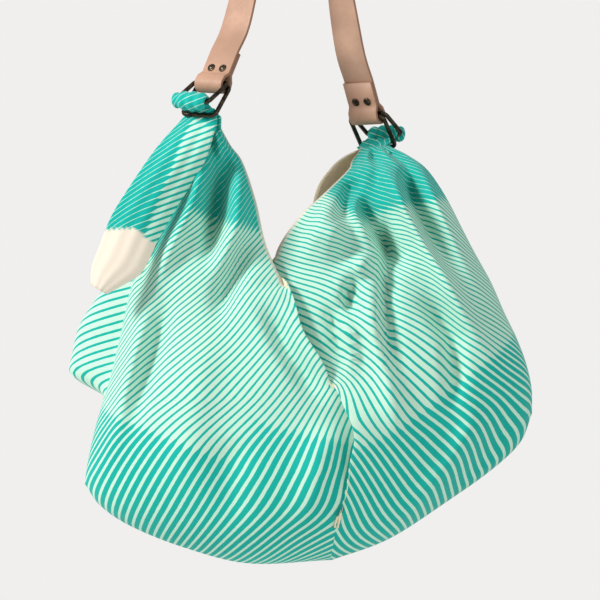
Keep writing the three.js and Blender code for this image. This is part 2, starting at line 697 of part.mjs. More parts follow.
// From the roll, over and behind the inner ring's bar and down as a tail
function tailGeometry(frame, half) {
  const { down, face, bar } = ringPlace(frame, -1);
  const { sign, clothward } = frame;
  const middleward = frame.width.clone().multiplyScalar(-sign);
  const sections = [0.1, 0.3].map((turns) => {
    const outward = between(face, down.clone().negate(), turns * 2 * Math.PI);
    const centre = bar.clone().addScaledVector(outward, ROLL_RADIUS);
    return bundleSection(centre, middleward, outward.negate(), rollShape());
  });
  const root = bar.clone().addScaledVector(clothward, ROLL_RADIUS);
  const turn = TAIL_HANG[half];
  const hang = vec(sign * turn.out, sign * turn.lean, -turn.down).normalize();
  for (const row of TAIL_SECTIONS) {
    const free = smooth(0, 0.35, row.along);
    const tailWidth = across(hang, middleward.clone().lerp(vec(-sign, 0, 0), free));
    const tailFace = hang.clone().cross(tailWidth);
    const centre = root.clone().addScaledVector(hang, row.along * TAIL_LENGTH);
    sections.push(bundleSection(centre, tailWidth, tailFace, {
      outer: (row.outer * TAIL_WIDTH) / 2,
      inner: (row.inner * TAIL_WIDTH) / 2,
      thickness: mix(ROLL_THICKNESS, TAIL_THICKNESS, free) * (row.along === 1 ? 0.5 : 1),
      arch: (row.arch * TAIL_WIDTH) / 2 * smooth(-0.05, 0.2, row.along),
      pleat: ROLL_THICKNESS * mix(ROLL_PLEAT.ring, ROLL_PLEAT.tip, row.along),
    }));
  }
  return orientOut(loft(sections));
}

// The knot of the other two corners: a band across the mouth, a wrapped lump and two short ends

function knotSolid() {
  const reach = (face) => pleatPoint(face, 0.5, MOUTH_ALONG + KNOT_DROP_SHARE);
  const front = reach("front");
  const back = reach("back");
  const middle = front.clone().add(back).multiplyScalar(0.5);
  const low = middle.clone().setZ(middle.z - KNOT_SIZE * KNOT_SAG);
  const path = new THREE.QuadraticBezierCurve3(front, low, back);
  const bandSteps = 8;
  const band = [];
  for (let step = 0; step <= bandSteps; step += 1) {
    const t = step / bandSteps;
    const tangent = path.getTangent(t);
    const side = across(tangent, vec(1, 0, 0));
    const top = side.clone().cross(tangent);
    const flare = mix(BAND_WAIST, BAND_FLARE, (2 * t - 1) ** 2) * KNOT_SIZE;
    const section = [];
    for (let k = 0; k < 10; k += 1) {
      const angle = (k / 10) * 2 * Math.PI;
      const point = path.getPoint(t).addScaledVector(side, Math.cos(angle) * flare);
      section.push(point.addScaledVector(top, Math.sin(angle) * KNOT_SIZE * BAND_RISE));
    }
    band.push(section);
  }
  const heart = path.getPoint(0.5);
  const lump = new THREE.SphereGeometry(KNOT_SIZE / 2, 12, 8).scale(0.95, 1, 0.8);
  const wrap = new THREE.TorusGeometry(KNOT_SIZE * WRAP_REACH, KNOT_SIZE * WRAP_THICKNESS, 8, 12)
    .rotateX(Math.PI / 2).rotateZ(WRAP_TURN);
  let solid = toSolid(orientOut(loft(band)));
  for (const shape of [lump, wrap]) {
    solid = solid.add(toSolid(shape.translate(heart.x, heart.y, heart.z)));
  }
  for (const sign of [-1, 1]) {
    const hang = vec(sign * KNOT_HANG.out, sign * KNOT_HANG.lean, -KNOT_HANG.down).normalize();
    const width = across(hang, vec(0, 1, 0));
    const face = width.clone().cross(hang);
    const end = [0, 0.3, 0.65, 1].map((share) => {
      const centre = heart.clone().addScaledVector(hang, share * KNOT_END_LENGTH);
      const spread = KNOT_SIZE * mix(0.25, 0.5, Math.sin(share * Math.PI));
      return bundleSection(centre, width, face, {
        outer: -spread,
        inner: spread,
        thickness: mix(KNOT_SIZE * 0.3, CLOTH_THICKNESS * 2, share),
        arch: KNOT_SIZE * 0.1,
        pleat: CLOTH_THICKNESS * 0.4,
      });
    });
    solid = solid.add(toSolid(orientOut(loft(end))));
  }
  return solid;
}

// Assembly

const leather = new THREE.MeshStandardMaterial({ color: 0xcfa589, roughness: 0.62, metalness: 0 });
const darkBrass = new THREE.MeshStandardMaterial({ color: 0x4a4238, roughness: 0.4, metalness: 0.9 });
const cotton = new THREE.MeshStandardMaterial({ color: 0x2fb8a8, roughness: 0.9, metalness: 0 });

const group = new THREE.Group();

function addMesh(name, geometry, material) {
  const mesh = new THREE.Mesh(geometry, material);
  mesh.name = name;
  group.add(mesh);
}

const leftFrame = sideFrame(-1, LEFT_BAR);
const rightFrame = sideFrame(1, RIGHT_BAR);

addMesh("shoulder_strap", strapGeometry(leftFrame, rightFrame), leather);
let cloth = toSolid(pouchGeometry()).add(knotSolid());
for (const [half, frame] of [["left", leftFrame], ["right", rightFrame]]) {
  addMesh(`ring_${half}_outer`, ringGeometry(frame, 1), darkBrass);
  addMesh(`ring_${half}_inner`, ringGeometry(frame, -1), darkBrass);
  addMesh(`rivet_${half}_a`, rivetGeometry(frame, -1), darkBrass);
  addMesh(`rivet_${half}_b`, rivetGeometry(frame, 1), darkBrass);
  for (const corner of [rollGeometry, tailGeometry]) cloth = cloth.add(toSolid(corner(frame, half)));
  for (const side of [1, -1]) {
    cloth = cloth.subtract(toSolid(ringGeometry(frame, side, RING_WIRE + 2 * GAP)));
  }
}
addMesh("furoshiki_cloth", toGeometry(fillVoids(cloth)), cotton);

export default group;
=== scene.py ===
"""Furoshiki shoulder bag: one printed cotton square drawn through rings on a riveted leather strap."""
from __future__ import annotations

import logging
import math
from dataclasses import dataclass, field, replace
from enum import Enum
from typing import Callable, Iterable

import bmesh
import bpy
import numpy as np
from mathutils import Matrix, Vector


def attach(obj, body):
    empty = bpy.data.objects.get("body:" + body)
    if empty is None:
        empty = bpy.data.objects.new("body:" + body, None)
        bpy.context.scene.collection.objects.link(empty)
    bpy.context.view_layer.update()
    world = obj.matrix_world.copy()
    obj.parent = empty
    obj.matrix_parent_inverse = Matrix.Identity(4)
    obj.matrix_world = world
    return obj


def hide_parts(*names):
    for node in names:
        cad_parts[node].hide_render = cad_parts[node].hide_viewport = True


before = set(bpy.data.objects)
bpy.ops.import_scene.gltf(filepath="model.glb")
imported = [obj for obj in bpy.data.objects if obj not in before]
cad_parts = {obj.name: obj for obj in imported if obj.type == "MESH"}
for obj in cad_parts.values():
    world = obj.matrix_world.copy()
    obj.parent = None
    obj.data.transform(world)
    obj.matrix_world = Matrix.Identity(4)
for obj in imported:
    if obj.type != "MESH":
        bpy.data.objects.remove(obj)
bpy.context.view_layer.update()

LOG = logging.getLogger("furoshiki")
METRES = 0.001
PIXEL = 0.9  # Millimetres for each pixel of the picture that folds and lines are drawn on
PICTURE_MIDDLE = 300.0  # Its column at X = 0
PICTURE_TOP = 225.0  # Millimetres from the origin down to its upper edge
FOLD_DEPTH = 2.8  # Millimetres for each unit of a fold's height
FORWARD = Vector((0, -1, 0))
BAR_DIRECTION = Vector((0.84, -0.545, 0))
RING_HANG = {"out": 0.4, "lean": 0.52, "down": 0.75}


class Half(Enum):
    """The two halves of the cloth, each hung from its own pair of rings."""

    LEFT = -1
    RIGHT = 1


class Face(Enum):
    """The two faces of the pouch and the way each one looks along Y."""

    FRONT = -1
    BACK = 1


def smooth(start: float, end: float, value: np.ndarray | float) -> np.ndarray | float:
    """An eased step.

    Args:
        start: Value where the step is 0.
        end: Value where the step is 1.
        value: Where the step is read.

    Returns:
        Shares from 0 to 1.
    """
    t = np.clip((value - start) / (end - start), 0, 1)
    return t * t * (3 - 2 * t)


def mix(a: float, b: float, t: float) -> float:
    """The value a share t of the way from a to b."""
    return a + (b - a) * t


def across(direction: Vector, wish: Vector) -> Vector:
    """The unit vector square to a direction that is nearest to a wished one."""
    return (wish - direction * wish.dot(direction)).normalized()


@dataclass(frozen=True)
class ShareTable:
    """Rows of shares under named columns, read along the first one by a smooth curve."""

    names: str
    rows: tuple[tuple[float, ...], ...]

    def read(self, name: str, places: np.ndarray | float) -> np.ndarray:
        """Reads a column.

        Args:
            name: The column's name.
            places: Places along the first column.

        Returns:
            The curve's values there.
        """
        table = np.array(self.rows)
        keys, values = table[:, 0], table[:, self.names.split().index(name)]
        slopes = np.diff(values) / np.diff(keys)
        middle = (values[2:] - values[:-2]) / (keys[2:] - keys[:-2])
        slopes = np.concatenate([slopes[:1], middle, slopes[-1:]])
        row = np.clip(np.searchsorted(keys, places, side="left") - 1, 0, len(keys) - 2)
        span = keys[row + 1] - keys[row]
        t = np.clip((places - keys[row]) / span, 0, 1)
        t2, t3 = t * t, t * t * t
        return (
            (2 * t3 - 3 * t2 + 1) * values[row]
            + (t3 - 2 * t2 + t) * span * slopes[row]
            + (3 * t2 - 2 * t3) * values[row + 1]
            + (t3 - t2) * span * slopes[row + 1]
        )


@dataclass(frozen=True)
class Sizes:
    """The sizes in millimetres that several pieces share."""

    gap: float = 0.3
    side_room: float = 1
    loop_room: float = 1
    strap_width: float = 30
    strap_thickness: float = 3
    peg_radius: float = 20
    turn_in: float = 33
    rivet_rise: float = 15
    rivet_spacing: float = 12.5
    wire: float = 4
    ring_corner: float = 4.5
    ring_drop: float = 34
    bar_lean: float = 38
    roll_thickness: float = 6
    outer_swing: float = 17
    inner_swing: float = -3
    neck_depth: float = 15

    @property
    def ring_half_width(self) -> float:
        """Half of a ring's width at its wire's middle."""
        return self.strap_width / 2 + self.side_room + self.wire / 2

    @property
    def bar_offset(self) -> float:
        """Half of the way between the two bars in the strap's loop."""
        return self.wire / 2 + self.gap

    @property
    def loop_radius(self) -> float:
        """Radius of the strap's middle round the bars."""
        return self.bar_offset + self.wire / 2 + self.loop_room + self.strap_thickness / 2

    @property
    def layer_offset(self) -> float:
        """Half of the way between the strap's two layers."""
        return (self.strap_thickness + self.gap) / 2

    @property
    def roll_radius(self) -> float:
        """Radius of the rolled cloth's middle round the inner bar."""
        return self.wire / 2 + self.gap + self.roll_thickness / 2

    @property
    def roll_half_width(self) -> float:
        """Half of the width of the cloth drawn through a ring."""
        return self.ring_half_width - self.wire / 2 - self.gap


SIZES = Sizes()
LEG = ShareTable("drop out lean", ((0, 0.27, 0), (0.2, 0.29, 0), (0.4, 0.41, 0.06), (0.6, 0.55, 0.17),
                                   (0.74, 0.66, 0.3), (0.84, 0.76, 0.47)))


@dataclass
class RingFrame:
    """Directions and places at one end of the strap."""

    half: Half
    out: float
    drop: float
    centre: Vector = field(init=False)
    down: Vector = field(init=False)
    width: Vector = field(init=False)
    grain: Vector = field(init=False)
    ring_down: Vector = field(init=False)
    ring_face: Vector = field(init=False)
    clothward: Vector = field(init=False)

    def __post_init__(self) -> None:
        """Works the directions out from the ring bar's place."""
        sign = self.half.value
        self.centre = Vector((sign * self.out, sign * SIZES.bar_lean, -self.drop))
        drop, out, lean = LEG.rows[-1]
        above = Vector((sign * self.out * out, sign * SIZES.bar_lean * lean, -self.drop * drop))
        self.down = (self.centre - above).normalized()
        self.width = across(self.down, BAR_DIRECTION)
        self.grain = (self.width.cross(self.down) * sign).normalized()
        hang = Vector((sign * RING_HANG["out"], sign * RING_HANG["lean"], -RING_HANG["down"]))
        self.ring_down = across(self.width, hang)
        self.ring_face = (self.ring_down.cross(self.width) * -sign).normalized()
        self.clothward = across(self.width, Vector((0, -sign, 0)))

    def ring(self, side: int) -> tuple[Vector, Vector, Vector, Vector]:
        """One swung ring.

        Args:
            side: 1 for the outer ring, -1 for the inner one.

        Returns:
            Its downward and facing directions, its top bar's centre and its lower bar's centre.
        """
        swing = math.radians(SIZES.outer_swing if side > 0 else SIZES.inner_swing)
        turn = Matrix.Rotation(self.half.value * swing, 3, self.width)
        down, face = turn @ self.ring_down, turn @ self.ring_face
        top = self.centre + self.ring_face * side * SIZES.bar_offset
        return down, face, top, top + down * SIZES.ring_drop


FRAMES = {Half.LEFT: RingFrame(Half.LEFT, 77.5, 302.5), Half.RIGHT: RingFrame(Half.RIGHT, 61, 327.5)}


def feed(tree: bpy.types.NodeTree, socket: bpy.types.NodeSocket, value: object) -> None:
    """Links another socket into this one, or sets its value."""
    if isinstance(value, bpy.types.NodeSocket):
        tree.links.new(value, socket)
    else:
        socket.default_value = value


class Nodes:
    """A small builder for a shader or group node tree."""

    def __init__(self, tree: bpy.types.NodeTree) -> None:
        """Keeps the tree that nodes are added to."""
        self.tree = tree

    def add(self, kind: str, inputs: dict[str | int, object] | None = None,
            **settings: object) -> bpy.types.Node:
        """Adds a node.

        Args:
            kind: Blender's class name of the node.
            inputs: Values or sockets for its inputs, by name or number.
            **settings: Properties of the node.

        Returns:
            The node.
        """
        node = self.tree.nodes.new(kind)
        for name, value in settings.items():
            setattr(node, name, value)
        for key, value in (inputs or {}).items():
            feed(self.tree, node.inputs[key], value)
        return node

    def math(self, operation: str, *values: object) -> bpy.types.NodeSocket:
        """The output of a Math node with these inputs."""
        return self.add("ShaderNodeMath", dict(enumerate(values)), operation=operation).outputs[0]

    def ramp(self, value: object, low: float, high: float) -> bpy.types.NodeSocket:
        """A value's smooth step from low to high."""
        node = self.add("ShaderNodeMapRange", {0: value, 1: low, 2: high}, interpolation_type="SMOOTHSTEP")
        return node.outputs[0]

    def blend(self, share: object, a: object, b: object) -> bpy.types.NodeSocket:
        """A colour the given share of the way from a to b."""
        node = self.add("ShaderNodeMix", {0: share, 6: a, 7: b}, data_type="RGBA")
        return node.outputs[2]

    def noise(self, vector: object, scale: object, detail: float = 3,
              rough: float = 0.5) -> bpy.types.NodeSocket:
        """A noise's value at a vector."""
        values = {"Vector": vector, "Scale": scale, "Detail": detail, "Roughness": rough}
        return self.add("ShaderNodeTexNoise", values).outputs[0]

    def bump(self, height: object, strength: float, distance: float) -> bpy.types.NodeSocket:
        """The normal that a height's relief gives."""
        values = {"Strength": strength, "Distance": distance, "Height": height}
        return self.add("ShaderNodeBump", values).outputs[0]

    def place(self) -> bpy.types.NodeSocket:
        """The piece's own object coordinates."""
        return self.add("ShaderNodeTexCoord").outputs["Object"]

    def attribute(self, name: str) -> bpy.types.NodeSocket:
        """A number kept on the piece's points."""
        return self.add("ShaderNodeAttribute", attribute_name=name).outputs["Fac"]

    def group(self, tree: bpy.types.NodeTree, **inputs: object) -> bpy.types.Node:
        """Places a shared effect with its own values."""
        node = self.add("ShaderNodeGroup", node_tree=tree)
        for name, value in inputs.items():
            feed(self.tree, node.inputs[name.capitalize()], value)
        return node


def rgb(red: int, green: int, blue: int) -> tuple[float, float, float, float]:
    """A linear colour from a display colour of 0 to 255."""
    linear = [c / 255 / 12.92 if c <= 10 else ((c / 255 + 0.055) / 1.055) ** 2.4 for c in (red, green, blue)]
    return (*linear, 1)


class SharedEffects:
    """Shader node groups that more than one finish uses."""

    def __init__(self) -> None:
        """Builds each group once."""
        self.weave = self._weave()
        self.mottle = self._mottle()

    @staticmethod
    def _start(name: str, inputs: Iterable[tuple[str, str, float]],
               outputs: Iterable[str]) -> tuple[Nodes, dict, bpy.types.Node]:
        """Makes an empty group.

        Args:
            name: The group's name.
            inputs: Socket name, kind and first value of each input.
            outputs: Names of the float outputs.

        Returns:
            The builder, the group's inputs by name and its output node.
        """
        tree = bpy.data.node_groups.new(name, "ShaderNodeTree")
        for label, kind, value in inputs:
            socket = tree.interface.new_socket(label, in_out="INPUT", socket_type=kind)
            if kind == "NodeSocketFloat":
                socket.default_value = value
        for label in outputs:
            tree.interface.new_socket(label, in_out="OUTPUT", socket_type="NodeSocketFloat")
        nodes = Nodes(tree)
        source = nodes.add("NodeGroupInput")
        return nodes, {s.name: s for s in source.outputs}, nodes.add("NodeGroupOutput")

    def _weave(self) -> bpy.types.NodeTree:
        """Plain weave: crossing threads with slubs, as a height and a painted shade that darkens the low
        places between threads.
        """
        sockets = (("Place", "NodeSocketVector", 0), ("Pitch", "NodeSocketFloat", 0.55))
        nodes, ins, out = self._start("plain_weave", sockets, ("Height", "Shade"))
        axes = nodes.add("ShaderNodeSeparateXYZ", {0: ins["Place"]}).outputs
        wobble = nodes.math("MULTIPLY", nodes.noise(ins["Place"], 0.35, 2), 0.7)
        waves = []
        for axis in (0, 1):
            turns = nodes.math("ADD", nodes.math("DIVIDE", axes[axis], ins["Pitch"]), wobble)
            waves.append(nodes.math("SINE", nodes.math("MULTIPLY", turns, math.pi)))
        crossing = nodes.math("MULTIPLY", waves[0], waves[1])
        slubs = nodes.math("MULTIPLY", nodes.noise(ins["Place"], 1.1, 2), 0.6)
        height = nodes.math("ADD", nodes.math("MULTIPLY", crossing, 0.5), slubs)
        nodes.tree.links.new(height, out.inputs["Height"])
        # Painted shade: the lower the threads lie, the darker the colour becomes.
        nodes.tree.links.new(nodes.ramp(height, -0.35, 0.6), out.inputs["Shade"])
        return nodes.tree

    def _mottle(self) -> bpy.types.NodeTree:
        """Broad and fine unevenness, from 0 to 1, for dye, tanning and tarnish."""
        sockets = (("Place", "NodeSocketVector", 0), ("Broad", "NodeSocketFloat", 12),
                   ("Fine", "NodeSocketFloat", 90))
        nodes, ins, out = self._start("uneven_tone", sockets, ("Tone", "Speck"))
        broad = nodes.noise(ins["Place"], ins["Broad"], 4.0)
        fine = nodes.noise(ins["Place"], ins["Fine"], 3.0)
        nodes.tree.links.new(nodes.ramp(broad, 0.3, 0.7), out.inputs["Tone"])
        nodes.tree.links.new(nodes.ramp(fine, 0.35, 0.7), out.inputs["Speck"])
        return nodes.tree


def new_material(name: str, preview: tuple[float, float, float, float]) -> tuple[Nodes, bpy.types.Node]:
    """An empty material with a Principled shader.

    Args:
        name: The finish's name.
        preview: Colour for solid views.

    Returns:
        Its node builder and its shader node.
    """
    material = bpy.data.materials.new(name)
    material.use_nodes = True
    material.diffuse_color = preview
    nodes = Nodes(material.node_tree)
    return nodes, material.node_tree.nodes["Principled BSDF"]


def dress(nodes: Nodes, shader: bpy.types.Node, **sockets: object) -> bpy.types.Material:
    """Feeds a shader's sockets and returns its material."""
    for name, value in sockets.items():
        feed(nodes.tree, shader.inputs[name.replace("_", " ")], value)
    return next(m for m in bpy.data.materials if m.node_tree == nodes.tree)


@dataclass(frozen=True)
class PrintedCotton:
    """Matt cotton, printed on its outside with fine teal and pale lines."""

    teal: tuple[float, ...] = rgb(2, 174, 160)
    pale: tuple[float, ...] = rgb(200, 235, 214)
    cream: tuple[float, ...] = rgb(240, 228, 210)
    reverse: tuple[float, ...] = rgb(247, 232, 197)
    faded_teal: tuple[float, ...] = rgb(24, 192, 180)
    faded_reverse: tuple[float, ...] = rgb(246, 236, 212)
    line_pitch: float = 5.3
    edge_softness: float = 0.05
    thread_pitch: float = 0.5

    def outside(self, shared: SharedEffects) -> bpy.types.Material:
        """The printed side.

        Args:
            shared: The shared effects.

        Returns:
            The material, which reads the piece's line, pale share and plain share.
        """
        nodes, shader = new_material("printed_cotton", self.teal)
        pale_share, plain = nodes.attribute("pale"), nodes.attribute("plain")
        flat = nodes.add("ShaderNodeSeparateXYZ", {0: self._flat(nodes)}).outputs[0]
        lines = nodes.math("DIVIDE", flat, self.line_pitch)
        place = nodes.place()
        ragged = nodes.math("MULTIPLY", nodes.math("SUBTRACT", nodes.noise(place, 240, 2), 0.5), 0.16)
        phase = nodes.math("FRACT", nodes.math("ADD", lines, 1000.0))
        off_middle = nodes.math("MULTIPLY", nodes.math("ABSOLUTE", nodes.math("SUBTRACT", phase, 0.5)), 2.0)
        width = nodes.math("ADD", pale_share, ragged)
        low = nodes.math("SUBTRACT", width, self.edge_softness)
        high = nodes.math("ADD", width, self.edge_softness)
        step = nodes.add("ShaderNodeMapRange", {0: off_middle, 1: low, 2: high, 3: 1.0, 4: 0.0})
        tone = nodes.group(shared.mottle, place=place, broad=14.0, fine=160.0)
        teal = nodes.blend(nodes.math("MULTIPLY", tone.outputs["Tone"], 0.35), self.teal, self.faded_teal)
        printed = nodes.blend(step.outputs[0], teal, self.pale)
        colour = nodes.blend(plain, printed, self.cream)
        return self._finish(nodes, shader, shared, colour)

    def inside(self, shared: SharedEffects) -> bpy.types.Material:
        """The unprinted reverse, faintly mottled."""
        nodes, shader = new_material("cotton_reverse", self.reverse)
        tone = nodes.group(shared.mottle, place=nodes.place(), broad=20.0, fine=140.0)
        share = nodes.math("MULTIPLY", tone.outputs["Tone"], 0.5)
        colour = nodes.blend(share, self.reverse, self.faded_reverse)
        return self._finish(nodes, shader, shared, colour)

    @staticmethod
    def _flat(nodes: Nodes) -> bpy.types.NodeSocket:
        """The place on the flat cloth."""
        return nodes.add("ShaderNodeUVMap", uv_map="cloth").outputs[0]

    def _finish(self, nodes: Nodes, shader: bpy.types.Node, shared: SharedEffects,
                colour: bpy.types.NodeSocket) -> bpy.types.Material:
        """Adds the weave's painted shade between threads and its relief to a colour and feeds the shader."""
        weave = nodes.group(shared.weave, place=self._flat(nodes), pitch=self.thread_pitch)
        # The weave's painted shade darkens the colour by up to 8 % between the threads.
        shade = nodes.math("ADD", nodes.math("MULTIPLY", weave.outputs["Shade"], 0.08), 0.92)
        painted_thread_shade = nodes.add("ShaderNodeCombineColor", {0: shade, 1: shade, 2: shade}).outputs[0]
        shaded = nodes.add("ShaderNodeMix", {0: 1.0, 6: colour, 7: painted_thread_shade},
                           data_type="RGBA", blend_type="MULTIPLY")
        relief = nodes.bump(weave.outputs["Height"], 0.35, 0.0002)
        return dress(nodes, shader, Base_Color=shaded.outputs[2], Roughness=0.88, Specular_IOR_Level=0.2,
                     Sheen_Weight=0.15, Sheen_Roughness=0.5, Normal=relief)


@dataclass(frozen=True)
class NaturalLeather:
    """Undyed leather with a smooth grain side, a napped flesh side and darker cut edges."""

    grain: tuple[float, ...] = rgb(188, 147, 122)
    flesh: tuple[float, ...] = rgb(188, 150, 127)
    edge: tuple[float, ...] = rgb(164, 122, 98)

    def material(self, shared: SharedEffects, name: str, colour: tuple[float, ...],
                 nap: float) -> bpy.types.Material:
        """One side's finish.

        Args:
            shared: The shared effects.
            name: The material's name.
            colour: Its middle colour.
            nap: How fibrous the side is, from 0 to 1.

        Returns:
            The material.
        """
        nodes, shader = new_material(name, colour)
        place = nodes.place()
        tone = nodes.group(shared.mottle, place=place, broad=26.0, fine=420.0 if nap else 300.0)
        darker = tuple(c * 0.82 for c in colour[:3]) + (1,)
        lighter = tuple(min(1, c * 1.1) for c in colour[:3]) + (1,)
        body = nodes.blend(tone.outputs["Tone"], darker, lighter)
        freckled = nodes.blend(nodes.math("MULTIPLY", tone.outputs["Speck"], 0.12 + 0.16 * nap), body, darker)
        pores = nodes.add("ShaderNodeTexVoronoi", {"Vector": place, "Scale": 1100.0},
                          feature="DISTANCE_TO_EDGE")
        fibres = nodes.noise(place, 1500, 3)
        relief = nodes.math("ADD", nodes.math("MULTIPLY", pores.outputs[0], 0.6 * (1 - nap)),
                            nodes.math("MULTIPLY", fibres, 0.25 + 0.6 * nap))
        surface = nodes.bump(relief, 0.3, 0.0002)
        rough = nodes.math("ADD", nodes.math("MULTIPLY", tone.outputs["Speck"], 0.1), 0.5 + 0.25 * nap)
        return dress(nodes, shader, Base_Color=freckled, Roughness=rough, Specular_IOR_Level=0.35,
                     Normal=surface)

    def all(self, shared: SharedEffects) -> list[bpy.types.Material]:
        """Grain, flesh and cut edge, in that order."""
        return [
            self.material(shared, "leather_grain", self.grain, 0),
            self.material(shared, "leather_flesh", self.flesh, 0.7),
            self.material(shared, "leather_edge", self.edge, 0.4),
        ]


@dataclass(frozen=True)
class DarkBrass:
    """Blackened brass, rubbed a little brighter in patches."""

    dark: tuple[float, ...] = rgb(46, 41, 38)
    rubbed: tuple[float, ...] = rgb(122, 104, 84)

    def material(self, shared: SharedEffects) -> bpy.types.Material:
        """The metal's finish."""
        nodes, shader = new_material("dark_brass", self.dark)
        tone = nodes.group(shared.mottle, place=nodes.place(), broad=160.0, fine=900.0)
        worn = nodes.math("MULTIPLY", tone.outputs["Tone"], 0.45)
        rough = nodes.math("ADD", nodes.math("MULTIPLY", tone.outputs["Speck"], 0.18), 0.24)
        surface = nodes.bump(tone.outputs["Speck"], 0.12, 0.0001)
        return dress(nodes, shader, Base_Color=nodes.blend(worn, self.dark, self.rubbed), Metallic=1.0,
                     Roughness=rough, Normal=surface)


def finish_piece(mesh: bpy.types.Mesh, name: str, nodes: Iterable[str],
                 materials: Iterable[bpy.types.Material]) -> bpy.types.Object:
    """Puts a finished mesh in the scene, on its body and in its node's place.

    Args:
        mesh: The mesh, in metres.
        name: The piece's plain name.
        nodes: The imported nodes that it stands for.
        materials: Its materials, in slot order.

    Returns:
        The piece.
    """
    mesh.name = name
    for material in materials:
        mesh.materials.append(material)
    mesh.polygons.foreach_set("use_smooth", np.ones(len(mesh.polygons), bool))
    piece = bpy.data.objects.new(name, mesh)
    bpy.context.scene.collection.objects.link(piece)
    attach(piece, "root")
    if nodes:
        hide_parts(*nodes)
    LOG.info("%s: %d faces", name, len(mesh.polygons))
    return piece


def sweep(build: bmesh.types.BMesh, outline: list[bmesh.types.BMEdge], places: list[Matrix], closed: bool,
          paint: Callable[[bmesh.types.BMFace, Matrix], int] | None = None) -> None:
    """Extrudes a closed outline of edges, which lies at the first place, from place to place.

    Args:
        build: The mesh under construction.
        outline: The outline's edges.
        places: The outline's frames along the path.
        closed: True if the path returns to its start.
        paint: Gives a face's material number from the face and its frame.
    """
    first = list(outline)
    for before, here in zip(places, places[1:]):
        grown = bmesh.ops.extrude_edge_only(build, edges=outline)["geom"]
        outline = [g for g in grown if isinstance(g, bmesh.types.BMEdge) and all(v in grown for v in g.verts)]
        points = [g for g in grown if isinstance(g, bmesh.types.BMVert)]
        bmesh.ops.transform(build, matrix=here @ before.inverted(), verts=points)
        if paint:
            for face in (g for g in grown if isinstance(g, bmesh.types.BMFace)):
                face.normal_update()
                face.material_index = paint(face, here)
    if closed:
        bmesh.ops.bridge_loops(build, edges=first + outline)
    else:
        for loop in (first, outline):
            made = bmesh.ops.edgeloop_fill(build, edges=loop)["faces"]
            if paint:
                for face in made:
                    face.material_index = paint(face, places[0])
    bmesh.ops.recalc_face_normals(build, faces=build.faces)


def to_mesh(build: bmesh.types.BMesh, name: str) -> bpy.types.Mesh:
    """A mesh in metres from one built in millimetres."""
    bmesh.ops.scale(build, vec=(METRES,) * 3, verts=build.verts)
    mesh = bpy.data.meshes.new(name)
    build.to_mesh(mesh)
    build.free()
    return mesh


def frame_matrix(x: Vector, y: Vector, z: Vector, origin: Vector) -> Matrix:
    """A frame from three directions and a place."""
    matrix = Matrix((x, y, z)).transposed().to_4x4()
    matrix.translation = origin
    return matrix


@dataclass
class RingHardware:
    """The four wire rings."""

    frames: dict[Half, RingFrame]
    corner_steps: int = 8
    wire_segments: int = 14

    def build(self, material: bpy.types.Material) -> list[bpy.types.Object]:
        """Makes the rings.

        Args:
            material: The metal's finish.

        Returns:
            The pieces.
        """
        pieces = []
        for half, frame_ in self.frames.items():
            for side, label in ((1, "outer"), (-1, "inner")):
                name = f"ring_{half.name.lower()}_{label}"
                mesh = self._ring(frame_, side)
                pieces.append(finish_piece(mesh, f"wire_{name}", [name], [material]))
        return pieces

    def _ring(self, frame_: RingFrame, side: int) -> bpy.types.Mesh:
        """One round-cornered ring of wire."""
        down, face, top, _ = frame_.ring(side)
        places = []
        for across_sign, low, turn in ((1, 0, -90), (1, 1, 0), (-1, 1, 90), (-1, 0, 180)):
            for step in range(self.corner_steps + 1):
                angle = math.radians(turn + 90 * step / self.corner_steps)
                outward = frame_.width * math.cos(angle) + down * math.sin(angle)
                middle = (top + frame_.width * across_sign * (SIZES.ring_half_width - SIZES.ring_corner)
                          + down * (SIZES.ring_drop - SIZES.ring_corner if low else SIZES.ring_corner))
                centre = middle + outward * SIZES.ring_corner
                places.append(frame_matrix(outward, face, outward.cross(face), centre))
        build = bmesh.new()
        bmesh.ops.create_circle(build, segments=self.wire_segments, radius=SIZES.wire / 2)
        bmesh.ops.transform(build, matrix=places[0], verts=build.verts)
        sweep(build, list(build.edges), places, closed=True)
        return to_mesh(build, "ring")


@dataclass
class StrapRivets:
    """Turned rivets with a domed head on the grain side and a flat cap behind."""

    frames: dict[Half, RingFrame]
    head: float = 7.5
    shank: float = 3.2
    height: float = 1.6
    segments: int = 28

    def build(self, material: bpy.types.Material) -> None:
        """Makes the four rivets."""
        for half, frame_ in self.frames.items():
            for side, letter in ((-1, "a"), (1, "b")):
                name = f"rivet_{half.name.lower()}_{letter}"
                finish_piece(self._rivet(frame_, side), f"domed_{name}", [name], [material])

    def _rivet(self, frame_: RingFrame, side: int) -> bpy.types.Mesh:
        """Spins one rivet's outline about the strap's grain direction."""
        face = SIZES.strap_thickness + SIZES.gap * 0.5 + 0.15
        radius, rise = self.head / 2, self.height
        neck = self.shank / self.head
        rows = [(0, -face - rise), (0.45, -face - rise * 0.96), (0.75, -face - rise * 0.72),
                (0.95, -face - rise * 0.36), (1.0, -face - rise * 0.1), (0.98, -face), (neck, -face),
                (neck, face), (0.98, face), (1.0, face + rise * 0.12), (0.9, face + rise * 0.42),
                (0.74, face + rise * 0.52), (0.7, face + rise * 0.44), (0.62, face + rise * 0.6),
                (0.34, face + rise * 0.92), (0, face + rise)]
        build = bmesh.new()
        points = [build.verts.new((share * radius, level, 0)) for share, level in rows]
        edges = [build.edges.new(pair) for pair in zip(points, points[1:])]
        bmesh.ops.spin(build, geom=points + edges, cent=(0, 0, 0), axis=(0, 1, 0), angle=math.tau,
                       steps=self.segments, use_merge=True)
        bmesh.ops.remove_doubles(build, verts=build.verts, dist=0.001)
        bmesh.ops.recalc_face_normals(build, faces=build.faces)
        aside = frame_.width * side * SIZES.rivet_spacing / 2
        centre = frame_.centre - frame_.down * SIZES.rivet_rise + aside
        place = frame_matrix(frame_.width, frame_.grain, frame_.width.cross(frame_.grain), centre)
        bmesh.ops.transform(build, matrix=place, verts=build.verts)
        return to_mesh(build, "rivet")


